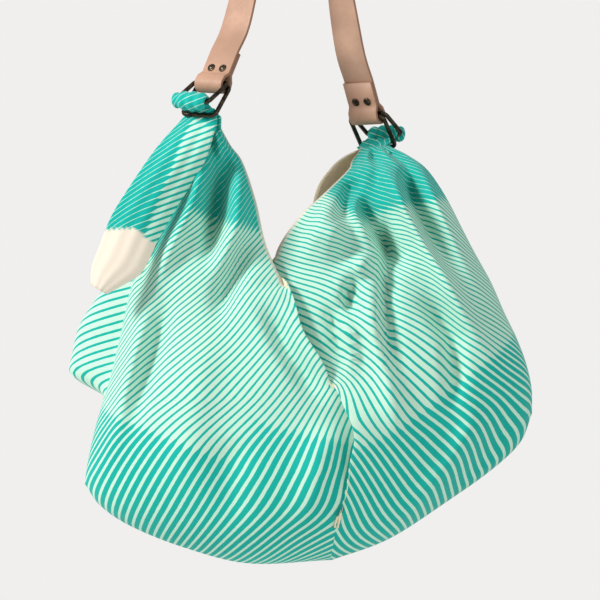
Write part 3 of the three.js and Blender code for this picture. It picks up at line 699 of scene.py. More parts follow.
@dataclass
class LeatherStrap:
    """The strap: two looped ends, two twisting legs and the arch over the peg."""

    frames: dict[Half, RingFrame]
    arch_steps: int = 16
    span_steps: int = 9
    edge_round: float = 0.7
    edge_facing: float = 0.6

    def build(self, materials: list[bpy.types.Material]) -> bpy.types.Object:
        """Sweeps the strap's rounded section along its path."""
        places = self._places()
        build = bmesh.new()
        bmesh.ops.create_circle(build, segments=4, radius=math.sqrt(0.5))
        bmesh.ops.rotate(build, matrix=Matrix.Rotation(math.pi / 4, 3, "Z"), verts=build.verts)
        bmesh.ops.scale(build, vec=(SIZES.strap_width, SIZES.strap_thickness, 1), verts=build.verts)
        bmesh.ops.bevel(build, geom=build.verts[:], offset=self.edge_round, offset_type="OFFSET", segments=3,
                        profile=0.5, affect="VERTICES", material=-1)
        wide = [e for e in build.edges if e.calc_length() > SIZES.strap_width / 2]
        bmesh.ops.subdivide_edges(build, edges=wide, cuts=5)
        bmesh.ops.transform(build, matrix=places[0], verts=build.verts)

        def side_of(face: bmesh.types.BMFace, here: Matrix) -> int:
            """Grain is 0, flesh is 1 and cut edge is 2."""
            if abs(face.normal.dot(here.col[0].xyz)) > self.edge_facing:
                return 2
            level = (face.calc_center_median() - here.translation).dot(here.col[1].xyz)
            return 0 if level > 0 else 1

        sweep(build, list(build.edges), places, closed=False, paint=side_of)
        return finish_piece(to_mesh(build, "strap"), "riveted_strap",
                            ["shoulder_strap"], materials)

    def _loop(self, frame_: RingFrame) -> list[Vector]:
        """Middle line of one end, from its cut edge round the bars and up."""
        rise, offset, radius = SIZES.rivet_rise, SIZES.layer_offset, SIZES.loop_radius

        def local(below: float, out: float) -> Vector:
            """A place beside the loop's centre."""
            return frame_.centre + frame_.down * below + frame_.grain * out

        arc = [local(math.sin(a) * radius, -math.cos(a) * radius)
               for a in (math.pi * step / self.arch_steps for step in range(self.arch_steps + 1))]
        start = [local(-SIZES.turn_in, -offset), local(-rise, -offset), local(-rise * 0.7, -offset),
                 local(-rise * 0.5, -offset * 0.5 - radius * 0.42), local(-rise * 0.32, -radius * 0.86)]
        end = [local(-rise * 0.32, radius * 0.86), local(-rise * 0.5, offset * 0.5 + radius * 0.42),
               local(-rise * 0.7, offset), local(-rise, offset), local(-SIZES.turn_in, offset)]
        return start + arc + end

    def _places(self) -> list[Matrix]:
        """Frames of the section along the whole strap."""
        left, right = self.frames[Half.LEFT], self.frames[Half.RIGHT]
        bend = SIZES.peg_radius + SIZES.strap_thickness / 2
        arch = [Vector((math.cos(a) * bend, 0, math.sin(a) * bend - SIZES.peg_radius))
                for a in (math.pi * (1 - step / 8) for step in range(9))]
        legs = {f.half: [Vector((f.half.value * f.out * out, f.half.value * SIZES.bar_lean * lean,
                                 -f.drop * drop)) for drop, out, lean in LEG.rows[1:]]
                for f in (left, right)}
        ends = {Half.LEFT: self._loop(left), Half.RIGHT: self._loop(right)[::-1]}
        knots = [ends[Half.LEFT][-1], *legs[Half.LEFT][::-1], *arch, *legs[Half.RIGHT], ends[Half.RIGHT][0]]
        points = [*ends[Half.LEFT], *through(knots, self.span_steps)[1:-1], *ends[Half.RIGHT]]
        places = []
        for index, point in enumerate(points):
            before, after = points[max(0, index - 1)], points[min(len(points) - 1, index + 1)]
            tangent = (after - before).normalized()
            frame_ = left if index < len(points) / 2 else right
            turned = float(smooth(0.86, 0.2, -point.z / frame_.drop))
            width = across(tangent, frame_.width.lerp(FORWARD, turned))
            places.append(frame_matrix(width, width.cross(tangent), tangent, point))
        return places


def through(knots: list[Vector], steps: int) -> list[Vector]:
    """Points on a centripetal curve through the knots.

    Args:
        knots: The places that it passes.
        steps: Points for each span.

    Returns:
        The curve's points, ends included.
    """
    padded = [knots[0] * 2 - knots[1], *knots, knots[-1] * 2 - knots[-2]]
    points = []
    for a, b, c, d in zip(padded, padded[1:], padded[2:], padded[3:]):
        ab, bc, cd = (max(1e-4, (q - p).length) ** 0.5 for p, q in ((a, b), (b, c), (c, d)))
        start = ((b - a) / ab - (c - a) / (ab + bc) + (c - b) / bc) * bc
        end = ((c - b) / bc - (d - b) / (bc + cd) + (d - c) / cd) * bc
        for step in range(steps):
            t = step / steps
            points.append(b * (2 * t**3 - 3 * t**2 + 1) + start * (t**3 - 2 * t**2 + t)
                          + c * (3 * t**2 - 2 * t**3) + end * (t**3 - t**2))
    return [*points, knots[-1]]


@dataclass
class SkinGrid:
    """The open skin of a piece of cloth, with what its print and its hem need at each point."""

    points: list[np.ndarray] = field(default_factory=list)
    facts: dict[str, list[np.ndarray]] = field(default_factory=dict)
    faces: list[np.ndarray] = field(default_factory=list)
    count: int = 0

    def add(self, points: np.ndarray, **facts: np.ndarray) -> np.ndarray:
        """Adds a block of points.

        Args:
            points: Their places, in any grid shape with three numbers last.
            **facts: Numbers kept with them, in the same grid shape.

        Returns:
            The points' numbers, in that grid shape.
        """
        shape = points.shape[:-1]
        size = int(np.prod(shape))
        self.points.append(points.reshape(-1, 3))
        for name, values in facts.items():
            self.facts.setdefault(name, []).append(np.broadcast_to(values, shape).reshape(-1).astype(float))
        numbers = np.arange(self.count, self.count + size).reshape(shape)
        self.count += size
        return numbers

    def tile(self, numbers: np.ndarray) -> None:
        """Lays quads over a grid of point numbers."""
        quads = np.stack([numbers[:-1, :-1], numbers[1:, :-1], numbers[1:, 1:], numbers[:-1, 1:]], -1)
        self.faces.append(quads.reshape(-1, 4))

    def arrays(self) -> tuple[np.ndarray, np.ndarray, dict[str, np.ndarray]]:
        """Points, quads and facts, each as one array."""
        facts = {name: np.concatenate(values) for name, values in self.facts.items()}
        return np.concatenate(self.points), np.concatenate(self.faces), facts


def point_normals(points: np.ndarray, quads: np.ndarray) -> np.ndarray:
    """Unit normals of a skin's points."""
    corner = points[quads]
    normal = np.cross(corner[:, 2] - corner[:, 0], corner[:, 3] - corner[:, 1])
    total = np.zeros_like(points)
    for index in range(4):
        np.add.at(total, quads[:, index], normal)
    return total / np.maximum(np.linalg.norm(total, axis=1, keepdims=True), 1e-9)


def mesh_from_skin(points: np.ndarray, quads: np.ndarray, flat: np.ndarray,
                   **facts: np.ndarray) -> bpy.types.Mesh:
    """A mesh in metres with its flat cloth places and its print's numbers.

    Args:
        points: Places in millimetres.
        quads: Point numbers of the faces.
        flat: The place on the flat cloth of each corner of each face, in millimetres.
        **facts: Numbers kept at each point.

    Returns:
        The mesh.
    """
    mesh = bpy.data.meshes.new("cloth")
    mesh.from_pydata((points * METRES).tolist(), [], quads.tolist())
    for name, values in facts.items():
        mesh.attributes.new(name, "FLOAT", "POINT").data.foreach_set("value", values.astype(np.float32))
    mesh.uv_layers.new(name="cloth").data.foreach_set("uv", flat.astype(np.float32).ravel())
    return mesh


@dataclass(frozen=True)
class Fold:
    """A soft fold of a pouch face, drawn on the picture: above 0 it stands proud, below 0 it is hollow."""

    half: Half
    height: float
    left_width: float
    right_width: float
    path: tuple[tuple[float, float], ...]

    def relief(self, x: np.ndarray, y: np.ndarray) -> np.ndarray:
        """The fold's height.

        Args:
            x: Picture columns of the points.
            y: Picture rows of the points.

        Returns:
            Millimetres out of the cloth.
        """
        path = np.array(self.path, float)
        lengths = np.linalg.norm(np.diff(path, axis=0), axis=1)
        starts = np.concatenate([[0], np.cumsum(lengths)])
        nearest = np.full(x.shape, 1e9)
        place, side = np.zeros(x.shape), np.ones(x.shape)
        for a, b, length, start in zip(path, path[1:], lengths, starts):
            step = (b - a) / length
            along = np.clip((x - a[0]) * step[0] + (y - a[1]) * step[1], 0, length)
            gap_x, gap_y = x - a[0] - step[0] * along, y - a[1] - step[1] * along
            distance = np.hypot(gap_x, gap_y)
            closer = distance < nearest
            nearest = np.where(closer, distance, nearest)
            place = np.where(closer, (start + along) / starts[-1], place)
            side = np.where(closer, step[0] * gap_y - step[1] * gap_x, side)
        blend = smooth(-1, 1, side / np.maximum(nearest, 1e-6))
        width = self.right_width + (self.left_width - self.right_width) * blend
        fade = smooth(-0.02, 0.3, place) * smooth(1.02, 0.6, place)
        return self.height * FOLD_DEPTH * np.exp(-((nearest / width) ** 2)) * fade


L, R = Half.LEFT, Half.RIGHT
FOLDS = (
    Fold(L, 8, 12, 10, ((214, 132), (208, 160), (194, 195), (176, 235), (160, 272), (150, 300))),
    Fold(L, -9, 10, 12, ((196, 165), (172, 212), (142, 262), (122, 310))),
    Fold(L, -11, 8, 10, ((228, 135), (226, 165), (219, 200), (212, 240), (203, 270))),
    Fold(L, 6, 12, 12, ((236, 150), (240, 185), (238, 222), (228, 256), (214, 290))),
    Fold(L, -6, 12, 9, ((250, 232), (241, 262), (228, 290), (214, 330))),
    Fold(L, 5, 12, 14, ((154, 290), (138, 345), (120, 405), (104, 462), (96, 490))),
    Fold(L, -6, 14, 10, ((172, 290), (158, 345), (142, 395), (128, 440))),
    Fold(L, 4, 22, 22, ((205, 320), (196, 385), (188, 450), (196, 520))),
    Fold(L, -3.5, 18, 14, ((236, 430), (232, 480), (240, 535))),
    Fold(L, -7, 9, 14, ((262, 300), (284, 345), (308, 382), (326, 410))),
    Fold(L, 6, 18, 14, ((336, 415), (322, 455), (312, 500), (304, 545))),
    Fold(R, -8, 8, 9, ((353, 172), (349, 195), (342, 214), (334, 232))),
    Fold(R, 5, 8, 7, ((351, 186), (355, 210), (368, 238), (365, 254))),
    Fold(R, -10, 8, 10, ((355, 190), (364, 210), (374, 229), (394, 256), (404, 280))),
    Fold(R, 9, 26, 30, ((305, 222), (325, 228), (350, 238))),
    Fold(R, 6, 8, 6, ((368, 250), (360, 266), (350, 282), (345, 300))),
    Fold(R, -9, 6, 8, ((356, 264), (350, 284), (346, 306), (347, 330))),
    Fold(R, 9, 9, 10, ((374, 128), (384, 168), (399, 198), (422, 238), (444, 281), (464, 318), (490, 358),
                       (506, 376))),
    Fold(R, -10, 7, 8, ((398, 158), (408, 181), (416, 212), (432, 245), (452, 280))),
    Fold(R, 6, 12, 12, ((402, 150), (428, 185), (456, 235), (482, 290), (500, 330))),
    Fold(R, -8, 7, 7, ((386, 200), (387, 250), (385, 305), (387, 341), (400, 380))),
    Fold(R, 6, 10, 10, ((370, 275), (371, 320), (382, 365), (394, 410), (400, 450))),
    Fold(R, -7, 8, 10, ((414, 290), (434, 315), (449, 340), (452, 378), (446, 420))),
    Fold(R, 7, 12, 16, ((470, 390), (470, 425), (450, 462), (420, 500), (394, 530), (380, 552))),
    Fold(R, -5, 12, 10, ((508, 405), (492, 450), (458, 492), (424, 520))),
    Fold(R, -5, 8, 7, ((330, 300), (336, 335), (344, 372))),
    Fold(R, 5, 6, 6, ((343, 290), (345, 315), (348, 345), (351, 385))),
)


@dataclass(frozen=True)
class LineGuide:
    """The lie of the printed lines at one place of the picture."""

    half: Half
    x: float
    y: float
    angle: float


GUIDES = tuple(LineGuide(half, x, y, angle) for half, rows in {
    L: ((215, 150, 50), (188, 190, 58), (245, 170, 68), (250, 215, 65), (168, 240, 36), (158, 268, 38),
        (198, 262, 42), (228, 268, 62), (262, 282, 62), (200, 400, 62), (128, 400, 58), (110, 455, 68),
        (200, 500, 63), (300, 480, 58), (290, 380, 60), (332, 420, 78), (250, 548, 42), (140, 515, 62),
        (325, 545, 30), (90, 340, 42), (85, 380, 38)),
    R: ((360, 150, -35), (378, 190, -38), (396, 165, -52), (420, 190, -40), (450, 250, -38), (472, 300, -42),
        (300, 222, -38), (322, 210, -50), (350, 205, -12), (306, 245, -6), (312, 266, 6), (298, 300, -35),
        (322, 298, -45), (338, 310, -62), (372, 300, -48), (400, 300, -30), (430, 290, -48), (400, 380, -57),
        (380, 450, -56), (450, 330, -47), (500, 420, -74), (482, 380, -60), (416, 521, -57), (450, 470, -68),
        (362, 515, -58), (360, 550, -25)),
}.items() for x, y, angle in rows)


@dataclass
class LinePrint:
    """Works out where a skin lies on the flat printed cloth."""

    reach: float = 16
    rounds: int = 1400

    def flatten(self, points: np.ndarray, quads: np.ndarray, facts: dict[str, np.ndarray]) -> np.ndarray:
        """Unrolls a skin so that the printed lines keep their pitch over every fold.

        The lines turn back on themselves at the outer folds, as they do on a folded sheet, so the
        flat places change sign there. The two halves are unrolled apart and meet inside the pleat.

        Args:
            points: The skin's points.
            quads: Its faces.
            facts: The points' half, face and column.

        Returns:
            The flat place of each corner of each face, across and along the lines, in millimetres.
        """
        half, face, column = facts["half"], facts["face"], facts["column"]
        angle = self._angles(points, half)
        zero = np.zeros_like(angle)
        forward = np.stack([zero, face, zero], 1)
        normal = point_normals(points, quads)
        wishes = [self._tilt(forward, normal, wish) for wish in (
            np.stack([np.sin(angle), zero, np.cos(angle) * face], 1),
            np.stack([np.cos(angle), zero, -np.sin(angle) * face], 1))]
        edges = np.unique(np.sort(np.concatenate([quads[:, [i, (i + 1) % 4]] for i in range(4)]), 1), axis=0)
        edges = edges[half[edges[:, 0]] == half[edges[:, 1]]]
        at_fold = (face[edges[:, 0]] != face[edges[:, 1]]) & (column[edges].min(1) < 1e-6)
        turn = np.where(at_fold, -1.0, 1.0)
        flat = np.stack([self._solve(points, edges, turn, wish) for wish in wishes], 1)
        corner = flat[quads]
        outer = np.where(column[quads[:, 0]] > column[quads[:, 3]], quads[:, 0], quads[:, 3])
        corner[(column[quads] < 1e-6) & (face[quads] != face[outer][:, None])] *= -1
        split = half[quads[:, 0]] != half[quads[:, 3]]
        for near, far in ((0, 3), (1, 2)):
            a, b = quads[split, near], quads[split, far]
            step = points[b] - points[a]
            shifts = [(step * wish[a]).sum(1) for wish in wishes]
            corner[split, far] = corner[split, near] + np.stack(shifts, 1)
        return corner

    def _angles(self, points: np.ndarray, half: np.ndarray) -> np.ndarray:
        """The lines' angle at each point, from the guides around it."""
        x = points[:, 0] / PIXEL + PICTURE_MIDDLE
        y = (-points[:, 2] - PICTURE_TOP) / PIXEL
        total = np.zeros((len(points), 2))
        for guide in GUIDES:
            near = 1 / ((x - guide.x) ** 2 + (y - guide.y) ** 2 + self.reach**2) ** 1.5
            near = np.where(half == guide.half.value, near, 0)[:, None]
            angle = math.radians(guide.angle)
            total += near * np.array([math.cos(angle), math.sin(angle)])
        return np.arctan2(total[:, 1], total[:, 0])

    @staticmethod
    def _tilt(forward: np.ndarray, normal: np.ndarray, wish: np.ndarray) -> np.ndarray:
        """Turns flat directions as the cloth turns, by the least turn from facing forward."""
        turn = np.cross(forward, normal)
        once = np.cross(turn, wish)
        lift = np.maximum(1 + (forward * normal).sum(1, keepdims=True), 0.15)
        tilted = wish + once + np.cross(turn, once) / lift
        return tilted / np.linalg.norm(tilted, axis=1, keepdims=True)

    def _solve(self, points: np.ndarray, edges: np.ndarray, turn: np.ndarray, wish: np.ndarray) -> np.ndarray:
        """The numbers whose change along each edge is nearest to the wished one, by conjugate gradients."""
        a, b = edges[:, 0], edges[:, 1]
        step = points[b] - points[a]
        target = (step * (wish[a] + turn[:, None] * wish[b]) / 2).sum(1)
        weight = 1 / np.maximum((step**2).sum(1), 0.3)
        count = len(points)

        def gather(flow: np.ndarray) -> np.ndarray:
            """Sums the edges' flow into their points."""
            return np.bincount(b, turn * flow, count) - np.bincount(a, flow, count)

        scale = np.maximum(np.bincount(a, weight, count) + np.bincount(b, weight, count), 1e-9)
        value = (points * wish).sum(1)
        rest = gather(weight * (target - (turn * value[b] - value[a])))
        ready = rest / scale
        search, size = ready.copy(), rest @ ready
        for _ in range(self.rounds):
            pushed = gather(weight * (turn * search[b] - search[a]))
            share = size / max(search @ pushed, 1e-12)
            value += share * search
            rest -= share * pushed
            ready = rest / scale
            grown = rest @ ready
            search, size = ready + search * (grown / max(size, 1e-12)), grown
        return value


@dataclass
class Pouch:
    """The hanging pouch: two gathered halves whose inner edges lap in a pleat on each face."""

    half_width: float = 200
    drop: float = 408
    top_drop: float = 324
    depth: float = 150
    ear_reach: float = 64
    mouth: float = 0.4
    belly: float = 0.66
    neck_reach: float = 0.55
    ear_span: float = 0.8
    print_ear_share: float = 0.25
    tooth_height: float = 0.045
    tooth_length: float = 88
    seam_share: float = 0.007
    columns: int = 58
    rows_above: int = 56
    rows_below: int = 84
    pleat_columns: int = 18
    thickness: float = 1.1
    columns_names: str = "along sideX sideZ frontX frontZ backX backZ rim"
    left: ShareTable = field(init=False)
    right: ShareTable = field(init=False)
    pleat: ShareTable = ShareTable("along lap", (
        (0.4, 0.03), (0.48, 0.13), (0.55, 0.12), (0.61, 0.01), (0.68, -0.11), (0.74, -0.1), (0.8, -0.06),
        (0.86, -0.022), (0.91, -0.004), (0.95, 0), (1, 0)))
    bottoms: dict[Half, ShareTable] = field(default_factory=lambda: {
        L: ShareTable("across x z", ((0, -0.968, 0.825), (0.1, -0.9, 0.872), (0.25, -0.76, 0.918),
                                     (0.45, -0.52, 0.965), (0.7, -0.23, 1), (1, 0.135, 0.993))),
        R: ShareTable("across x z", ((0, 1.044, 0.669), (0.1, 0.995, 0.73), (0.25, 0.87, 0.79),
                                     (0.45, 0.67, 0.86), (0.7, 0.4, 0.945), (1, 0.135, 0.993)))})

    def __post_init__(self) -> None:
        """Sets the two tables of sections."""
        self.left = ShareTable(self.columns_names, (
            (0, -0.46, 0.04, -0.36, 0.036, -0.35, 0.045, 0.04),
            (0.08, -0.51, 0.085, -0.31, 0.08, -0.33, 0.09, 0.12),
            (0.16, -0.575, 0.155, -0.255, 0.118, -0.29, 0.14, 0.22),
            (0.25, -0.665, 0.255, -0.195, 0.205, -0.25, 0.21, 0.35),
            (0.33, -0.725, 0.335, -0.15, 0.3, -0.18, 0.3, 0.46),
            (0.4, -0.77, 0.41, -0.07, 0.395, -0.05, 0.4, 0.6),
            (0.5, -0.81, 0.5, -0.045, 0.49, 0.03, 0.49, 0.78),
            (0.6, -0.86, 0.6, 0.12, 0.59, 0.08, 0.59, 0.94),
            (0.7, -0.91, 0.68, 0.285, 0.695, 0.11, 0.695, 1),
            (0.8, -0.94, 0.74, 0.24, 0.785, 0.12, 0.785, 1),
            (0.9, -0.96, 0.79, 0.175, 0.885, 0.13, 0.885, 1),
            (1, -0.968, 0.825, 0.135, 0.993, 0.135, 0.993, 1)))
        self.right = ShareTable(self.columns_names, (
            (0, 0.4, 0.075, 0.28, 0.08, 0.28, 0.08, 0.04),
            (0.08, 0.49, 0.098, 0.235, 0.11, 0.2, 0.1, 0.12),
            (0.16, 0.575, 0.13, 0.215, 0.132, 0.14, 0.125, 0.22),
            (0.25, 0.66, 0.192, 0.105, 0.186, 0.07, 0.18, 0.35),
            (0.33, 0.73, 0.26, -0.015, 0.243, 0.04, 0.29, 0.44),
            (0.4, 0.783, 0.311, -0.115, 0.335, 0.06, 0.38, 0.46),
            (0.5, 0.86, 0.38, -0.045, 0.49, 0.03, 0.49, 0.78),
            (0.6, 0.918, 0.445, 0.12, 0.59, 0.08, 0.59, 0.94),
            (0.7, 0.972, 0.5, 0.285, 0.695, 0.11, 0.695, 1),
            (0.8, 1.017, 0.558, 0.24, 0.785, 0.12, 0.785, 1),
            (0.9, 1.042, 0.614, 0.175, 0.885, 0.13, 0.885, 1),
            (1, 1.044, 0.669, 0.135, 0.993, 0.135, 0.993, 1)))

    def belly_depth(self, along: np.ndarray) -> np.ndarray:
        """Half of the pouch's depth from neck (0) to bottom (1)."""
        full = self.depth / 2
        upper = SIZES.neck_depth / 2 + (full - SIZES.neck_depth / 2) * smooth(-0.1, self.belly, along)
        t = np.clip((along - self.belly) / (1 - self.belly), 0, 1)
        return np.where(along <= self.belly, upper, full * np.sqrt(1 - t * t))

    def lap(self, half: Half, face: Face, along: np.ndarray) -> np.ndarray:
        """How far a panel's inner edge laps over its neighbour (above 0) or under it."""
        share = np.where(along < self.mouth, 0, self.pleat.read("lap", along))
        return (share if (half is L) == (face is Face.FRONT) else -share) / 2

    def panel(self, half: Half, face: Face, column: np.ndarray, along: np.ndarray) -> np.ndarray:
        """Points of one panel.

        Args:
            half: The cloth's half.
            face: The pouch's face.
            column: From the outer fold (0) to the rim or pleat (1).
            along: From the neck (0) to the bottom (1).

        Returns:
            Places in millimetres.
        """
        sections, bottom = (self.left if half is L else self.right), self.bottoms[half]
        face_x, face_z = (sections.read(face.name.lower() + axis, along) for axis in "XZ")
        side_x, side_z, rim = (sections.read(name, along) for name in ("sideX", "sideZ", "rim"))
        share = 1 - np.cos(column * math.pi / 2)
        lap = self.lap(half, face, along)
        end = dict(zip(self.columns_names.split(), sections.rows[-1]))
        below_x = bottom.read("x", share) - (end["sideX"] + (end["frontX"] - end["sideX"]) * share)
        below_z = bottom.read("z", share) - (end["sideZ"] + (end["frontZ"] - end["sideZ"]) * share)
        seam = self.seam_share * smooth(self.mouth, self.mouth + 0.08, along)
        lap_x = half.value * (seam - np.abs(lap))
        x = side_x + (face_x + lap_x - side_x) * share + below_x * along**2
        z = side_z + (face_z - side_z) * share + below_z * along**2
        x, z = x * self.half_width, -self.top_drop - z * self.drop
        depth = self.belly_depth(along)
        rim_depth = np.minimum(depth, rim * self.depth / 2)
        round_ = depth * np.sin(column * math.pi / 2) - (depth - rim_depth) * share**3
        flatten = np.sqrt(np.clip(1 - along**2, 0, 1))
        hang = self.ear_hang(half, face, along)
        relief = self.relief(face, x, z) * smooth(0.1, 0.55, depth / (self.depth / 2)) * (1 - hang)
        relief = relief + self.gathers(share, along)
        lap_depth = lap * self.half_width * smooth(0.55, 1, share)
        towards_ring = half.value * SIZES.bar_lean * np.maximum(0, 1 - along / self.neck_reach) ** 2
        y = towards_ring + face.value * (round_ + (relief * smooth(0, 0.12, share) + lap_depth) * flatten)
        x = x - self.ear_reach * np.sin(math.pi * np.clip(column / self.ear_span, 0, 1)) * hang
        return np.stack([x, y, z], -1)

    @staticmethod
    def ear_hang(half: Half, face: Face, along: np.ndarray) -> np.ndarray:
        """How much of the ear hangs out of the left half's back panel; 0 on the other panels."""
        eared = 1 if half is L and face is Face.BACK else 0
        return eared * smooth(0.2, 0.5, along) * smooth(0.66, 0.56, along)

    @staticmethod
    def relief(face: Face, x: np.ndarray, z: np.ndarray) -> np.ndarray:
        """The drawn folds' height; the back has the front's folds, turned half round."""
        column = x / PIXEL * (1 if face is Face.FRONT else -1) + PICTURE_MIDDLE
        row = (-z - PICTURE_TOP) / PIXEL
        return sum(fold.relief(column, row) for fold in FOLDS)

    @staticmethod
    def gathers(share: np.ndarray, along: np.ndarray) -> np.ndarray:
        """Pleats that run out of the neck."""
        coarse = 0.3 * np.cos(share * 5 * math.pi) * smooth(0.4, 0.05, along)
        fine = 0.13 * np.cos(share * 11 * math.pi + 4 * along) * smooth(0.26, 0.04, along)
        return SIZES.neck_depth * (coarse + fine) * smooth(0, 0.06, along)

    def pleat_strip(self, face: Face, share: np.ndarray, along: np.ndarray) -> np.ndarray:
        """Points of the pleat between the panels of one face."""
        first, second = (L, R) if face is Face.FRONT else (R, L)
        one = np.ones_like(along)
        start, end = self.panel(first, face, one, along), self.panel(second, face, one, along)
        weight = np.stack([share, smooth(0, 1, share), share], -1)
        strip = start + (end - start) * weight
        strip[..., 0] += (start - end)[..., 0] * 0.22 * np.sin(2 * math.pi * share) * smooth(1, 0.9, along)
        return strip

    def skin(self) -> SkinGrid:
        """The outer skin of the whole pouch."""
        upper = np.linspace(0, self.mouth, self.rows_above + 1)
        t = np.linspace(0, 1, self.rows_below + 1)[1:]
        lower = self.mouth + (1 - self.mouth) * (np.sin(t * math.pi / 2) * 0.8 + t * 0.2)
        along = np.concatenate([upper, lower])
        grid, edges = SkinGrid(), {}
        for half in (L, R):
            order = (Face.BACK, Face.FRONT) if half is L else (Face.FRONT, Face.BACK)
            columns = np.linspace(-1, 1, 2 * self.columns + 1)
            mesh_along, mesh_column = np.meshgrid(along, columns, indexing="ij")
            first = self.panel(half, order[0], np.abs(mesh_column), mesh_along)
            second = self.panel(half, order[1], np.abs(mesh_column), mesh_along)
            later = mesh_column > 0
            points = np.where(later[..., None], second, first)
            face = np.where(later, order[1].value, order[0].value)
            rim = np.where(mesh_along < self.mouth, 1 - np.abs(mesh_column), 1)
            numbers = grid.add(points, half=np.full(face.shape, half.value), face=face, along=mesh_along,
                               column=np.abs(mesh_column), rim=rim)
            numbers[-1, self.columns + 1:] = numbers[-1, self.columns - 1::-1]
            grid.tile(numbers)
            edges[half] = numbers
        below = along[self.rows_above:]
        shares = np.linspace(0, 1, self.pleat_columns + 1)[1:-1]
        strips = {}
        for face, first, last in ((Face.FRONT, L, R), (Face.BACK, R, L)):
            start, end = edges[first][:, -1], edges[last][:, 0]
            mesh_along, mesh_share = np.meshgrid(below, shares, indexing="ij")
            half = np.where((mesh_share < 0.5) == (face is Face.FRONT), -1, 1)
            inner = grid.add(self.pleat_strip(face, mesh_share, mesh_along), half=half,
                             face=np.full(half.shape, face.value), along=mesh_along,
                             column=np.ones_like(mesh_share), rim=np.ones_like(mesh_share))
            if face is Face.BACK:
                inner[-1] = strips[Face.FRONT][-1, ::-1]
            strips[face] = inner
            grid.tile(np.concatenate([start[self.rows_above:, None], inner, end[self.rows_above:, None]], 1))
        return grid

    def build(self, printed: LinePrint, materials: list[bpy.types.Material]) -> bpy.types.Object:
        """Makes the pouch.

        Args:
            printed: The print's line finder.
            materials: Outside and reverse.

        Returns:
            The piece.
        """
        points, quads, facts = self.skin().arrays()
        # The print is laid on a pouch whose ear reaches less far, so that its lines don't stretch there
        calmer = replace(self, ear_reach=self.ear_reach * self.print_ear_share)
        flat = printed.flatten(calmer.skin().arrays()[0], quads, facts)
        along_lines = np.zeros(len(points))
        along_lines[quads.ravel()] = flat[..., 1].ravel()
        teeth = self.tooth_height * (np.abs(((along_lines / self.tooth_length) % 1) - 0.5) * 4 - 1)
        share = facts["along"] + teeth
        pale = 0.1 + 0.56 * smooth(0.26, 0.3, share) - 0.3 * smooth(0.69, 0.73, share)
        mesh = mesh_from_skin(points, quads, flat, pale=pale, plain=smooth(0.012, 0.006, facts["rim"]))
        piece = finish_piece(mesh, "gathered_pouch", ["furoshiki_cloth"], materials)
        wall = piece.modifiers.new("wall", "SOLIDIFY")
        wall.thickness = self.thickness * METRES
        wall.offset = -1
        wall.material_offset = 1
        wall.use_rim = True
        return piece


def bundle_ring(centre: Vector, width: Vector, face: Vector, outer: float, inner: float, thickness: float,
                arch: float, pleat: float, steps: int = 30, pleats: float = 7) -> np.ndarray:
    """One closed flat pleated section of drawn-up cloth.

    Args:
        centre: Its middle.
        width: The direction across it.
        face: The direction that its upper side faces.
        outer: Where its outer edge lies along width.
        inner: Where its inner edge lies along width.
        thickness: Its thickness at the middle.
        arch: How far its middle rises.
        pleat: Height of its pleats.
        steps: Points across each side.
        pleats: Half waves of pleats.

    Returns:
        Its points, upper side first.
    """
    t = np.linspace(0, 1, steps + 1)
    place = outer + (inner - outer) * t
    half = thickness / 2 * np.sin(math.pi * (0.03 + 0.94 * t)) ** 0.5
    rise = arch * np.sin(math.pi * t) + pleat * np.cos(t * pleats * math.pi)
    upper = np.array(centre) + np.outer(place, width) + np.outer(rise + half, face)
    lower = np.array(centre) + np.outer(place, width) + np.outer(rise - half, face)
    return np.concatenate([upper, lower[::-1]])


def lay_tube(grid: SkinGrid, sections: list[np.ndarray], closed: bool = False, **facts: np.ndarray) -> None:
    """Adds a tube through sections to a skin, with flat ends unless it closes on itself.

    Args:
        grid: The skin.
        sections: Closed sections with the same number of points.
        closed: True if the last section leads back to the first.
        **facts: Numbers kept with the points, in a grid of sections by points.
    """
    numbers = grid.add(np.stack(sections), **facts)
    count = numbers.shape[1]
    around = np.concatenate([numbers, numbers[:, :1]], 1)
    grid.tile(np.concatenate([around, around[:1]]) if closed else around)
    for end in () if closed else (0, -1):
        line = numbers[end]
        halves = np.stack([line[: count // 2], line[count // 2:][::-1]])
        grid.tile(halves if end else halves[::-1])


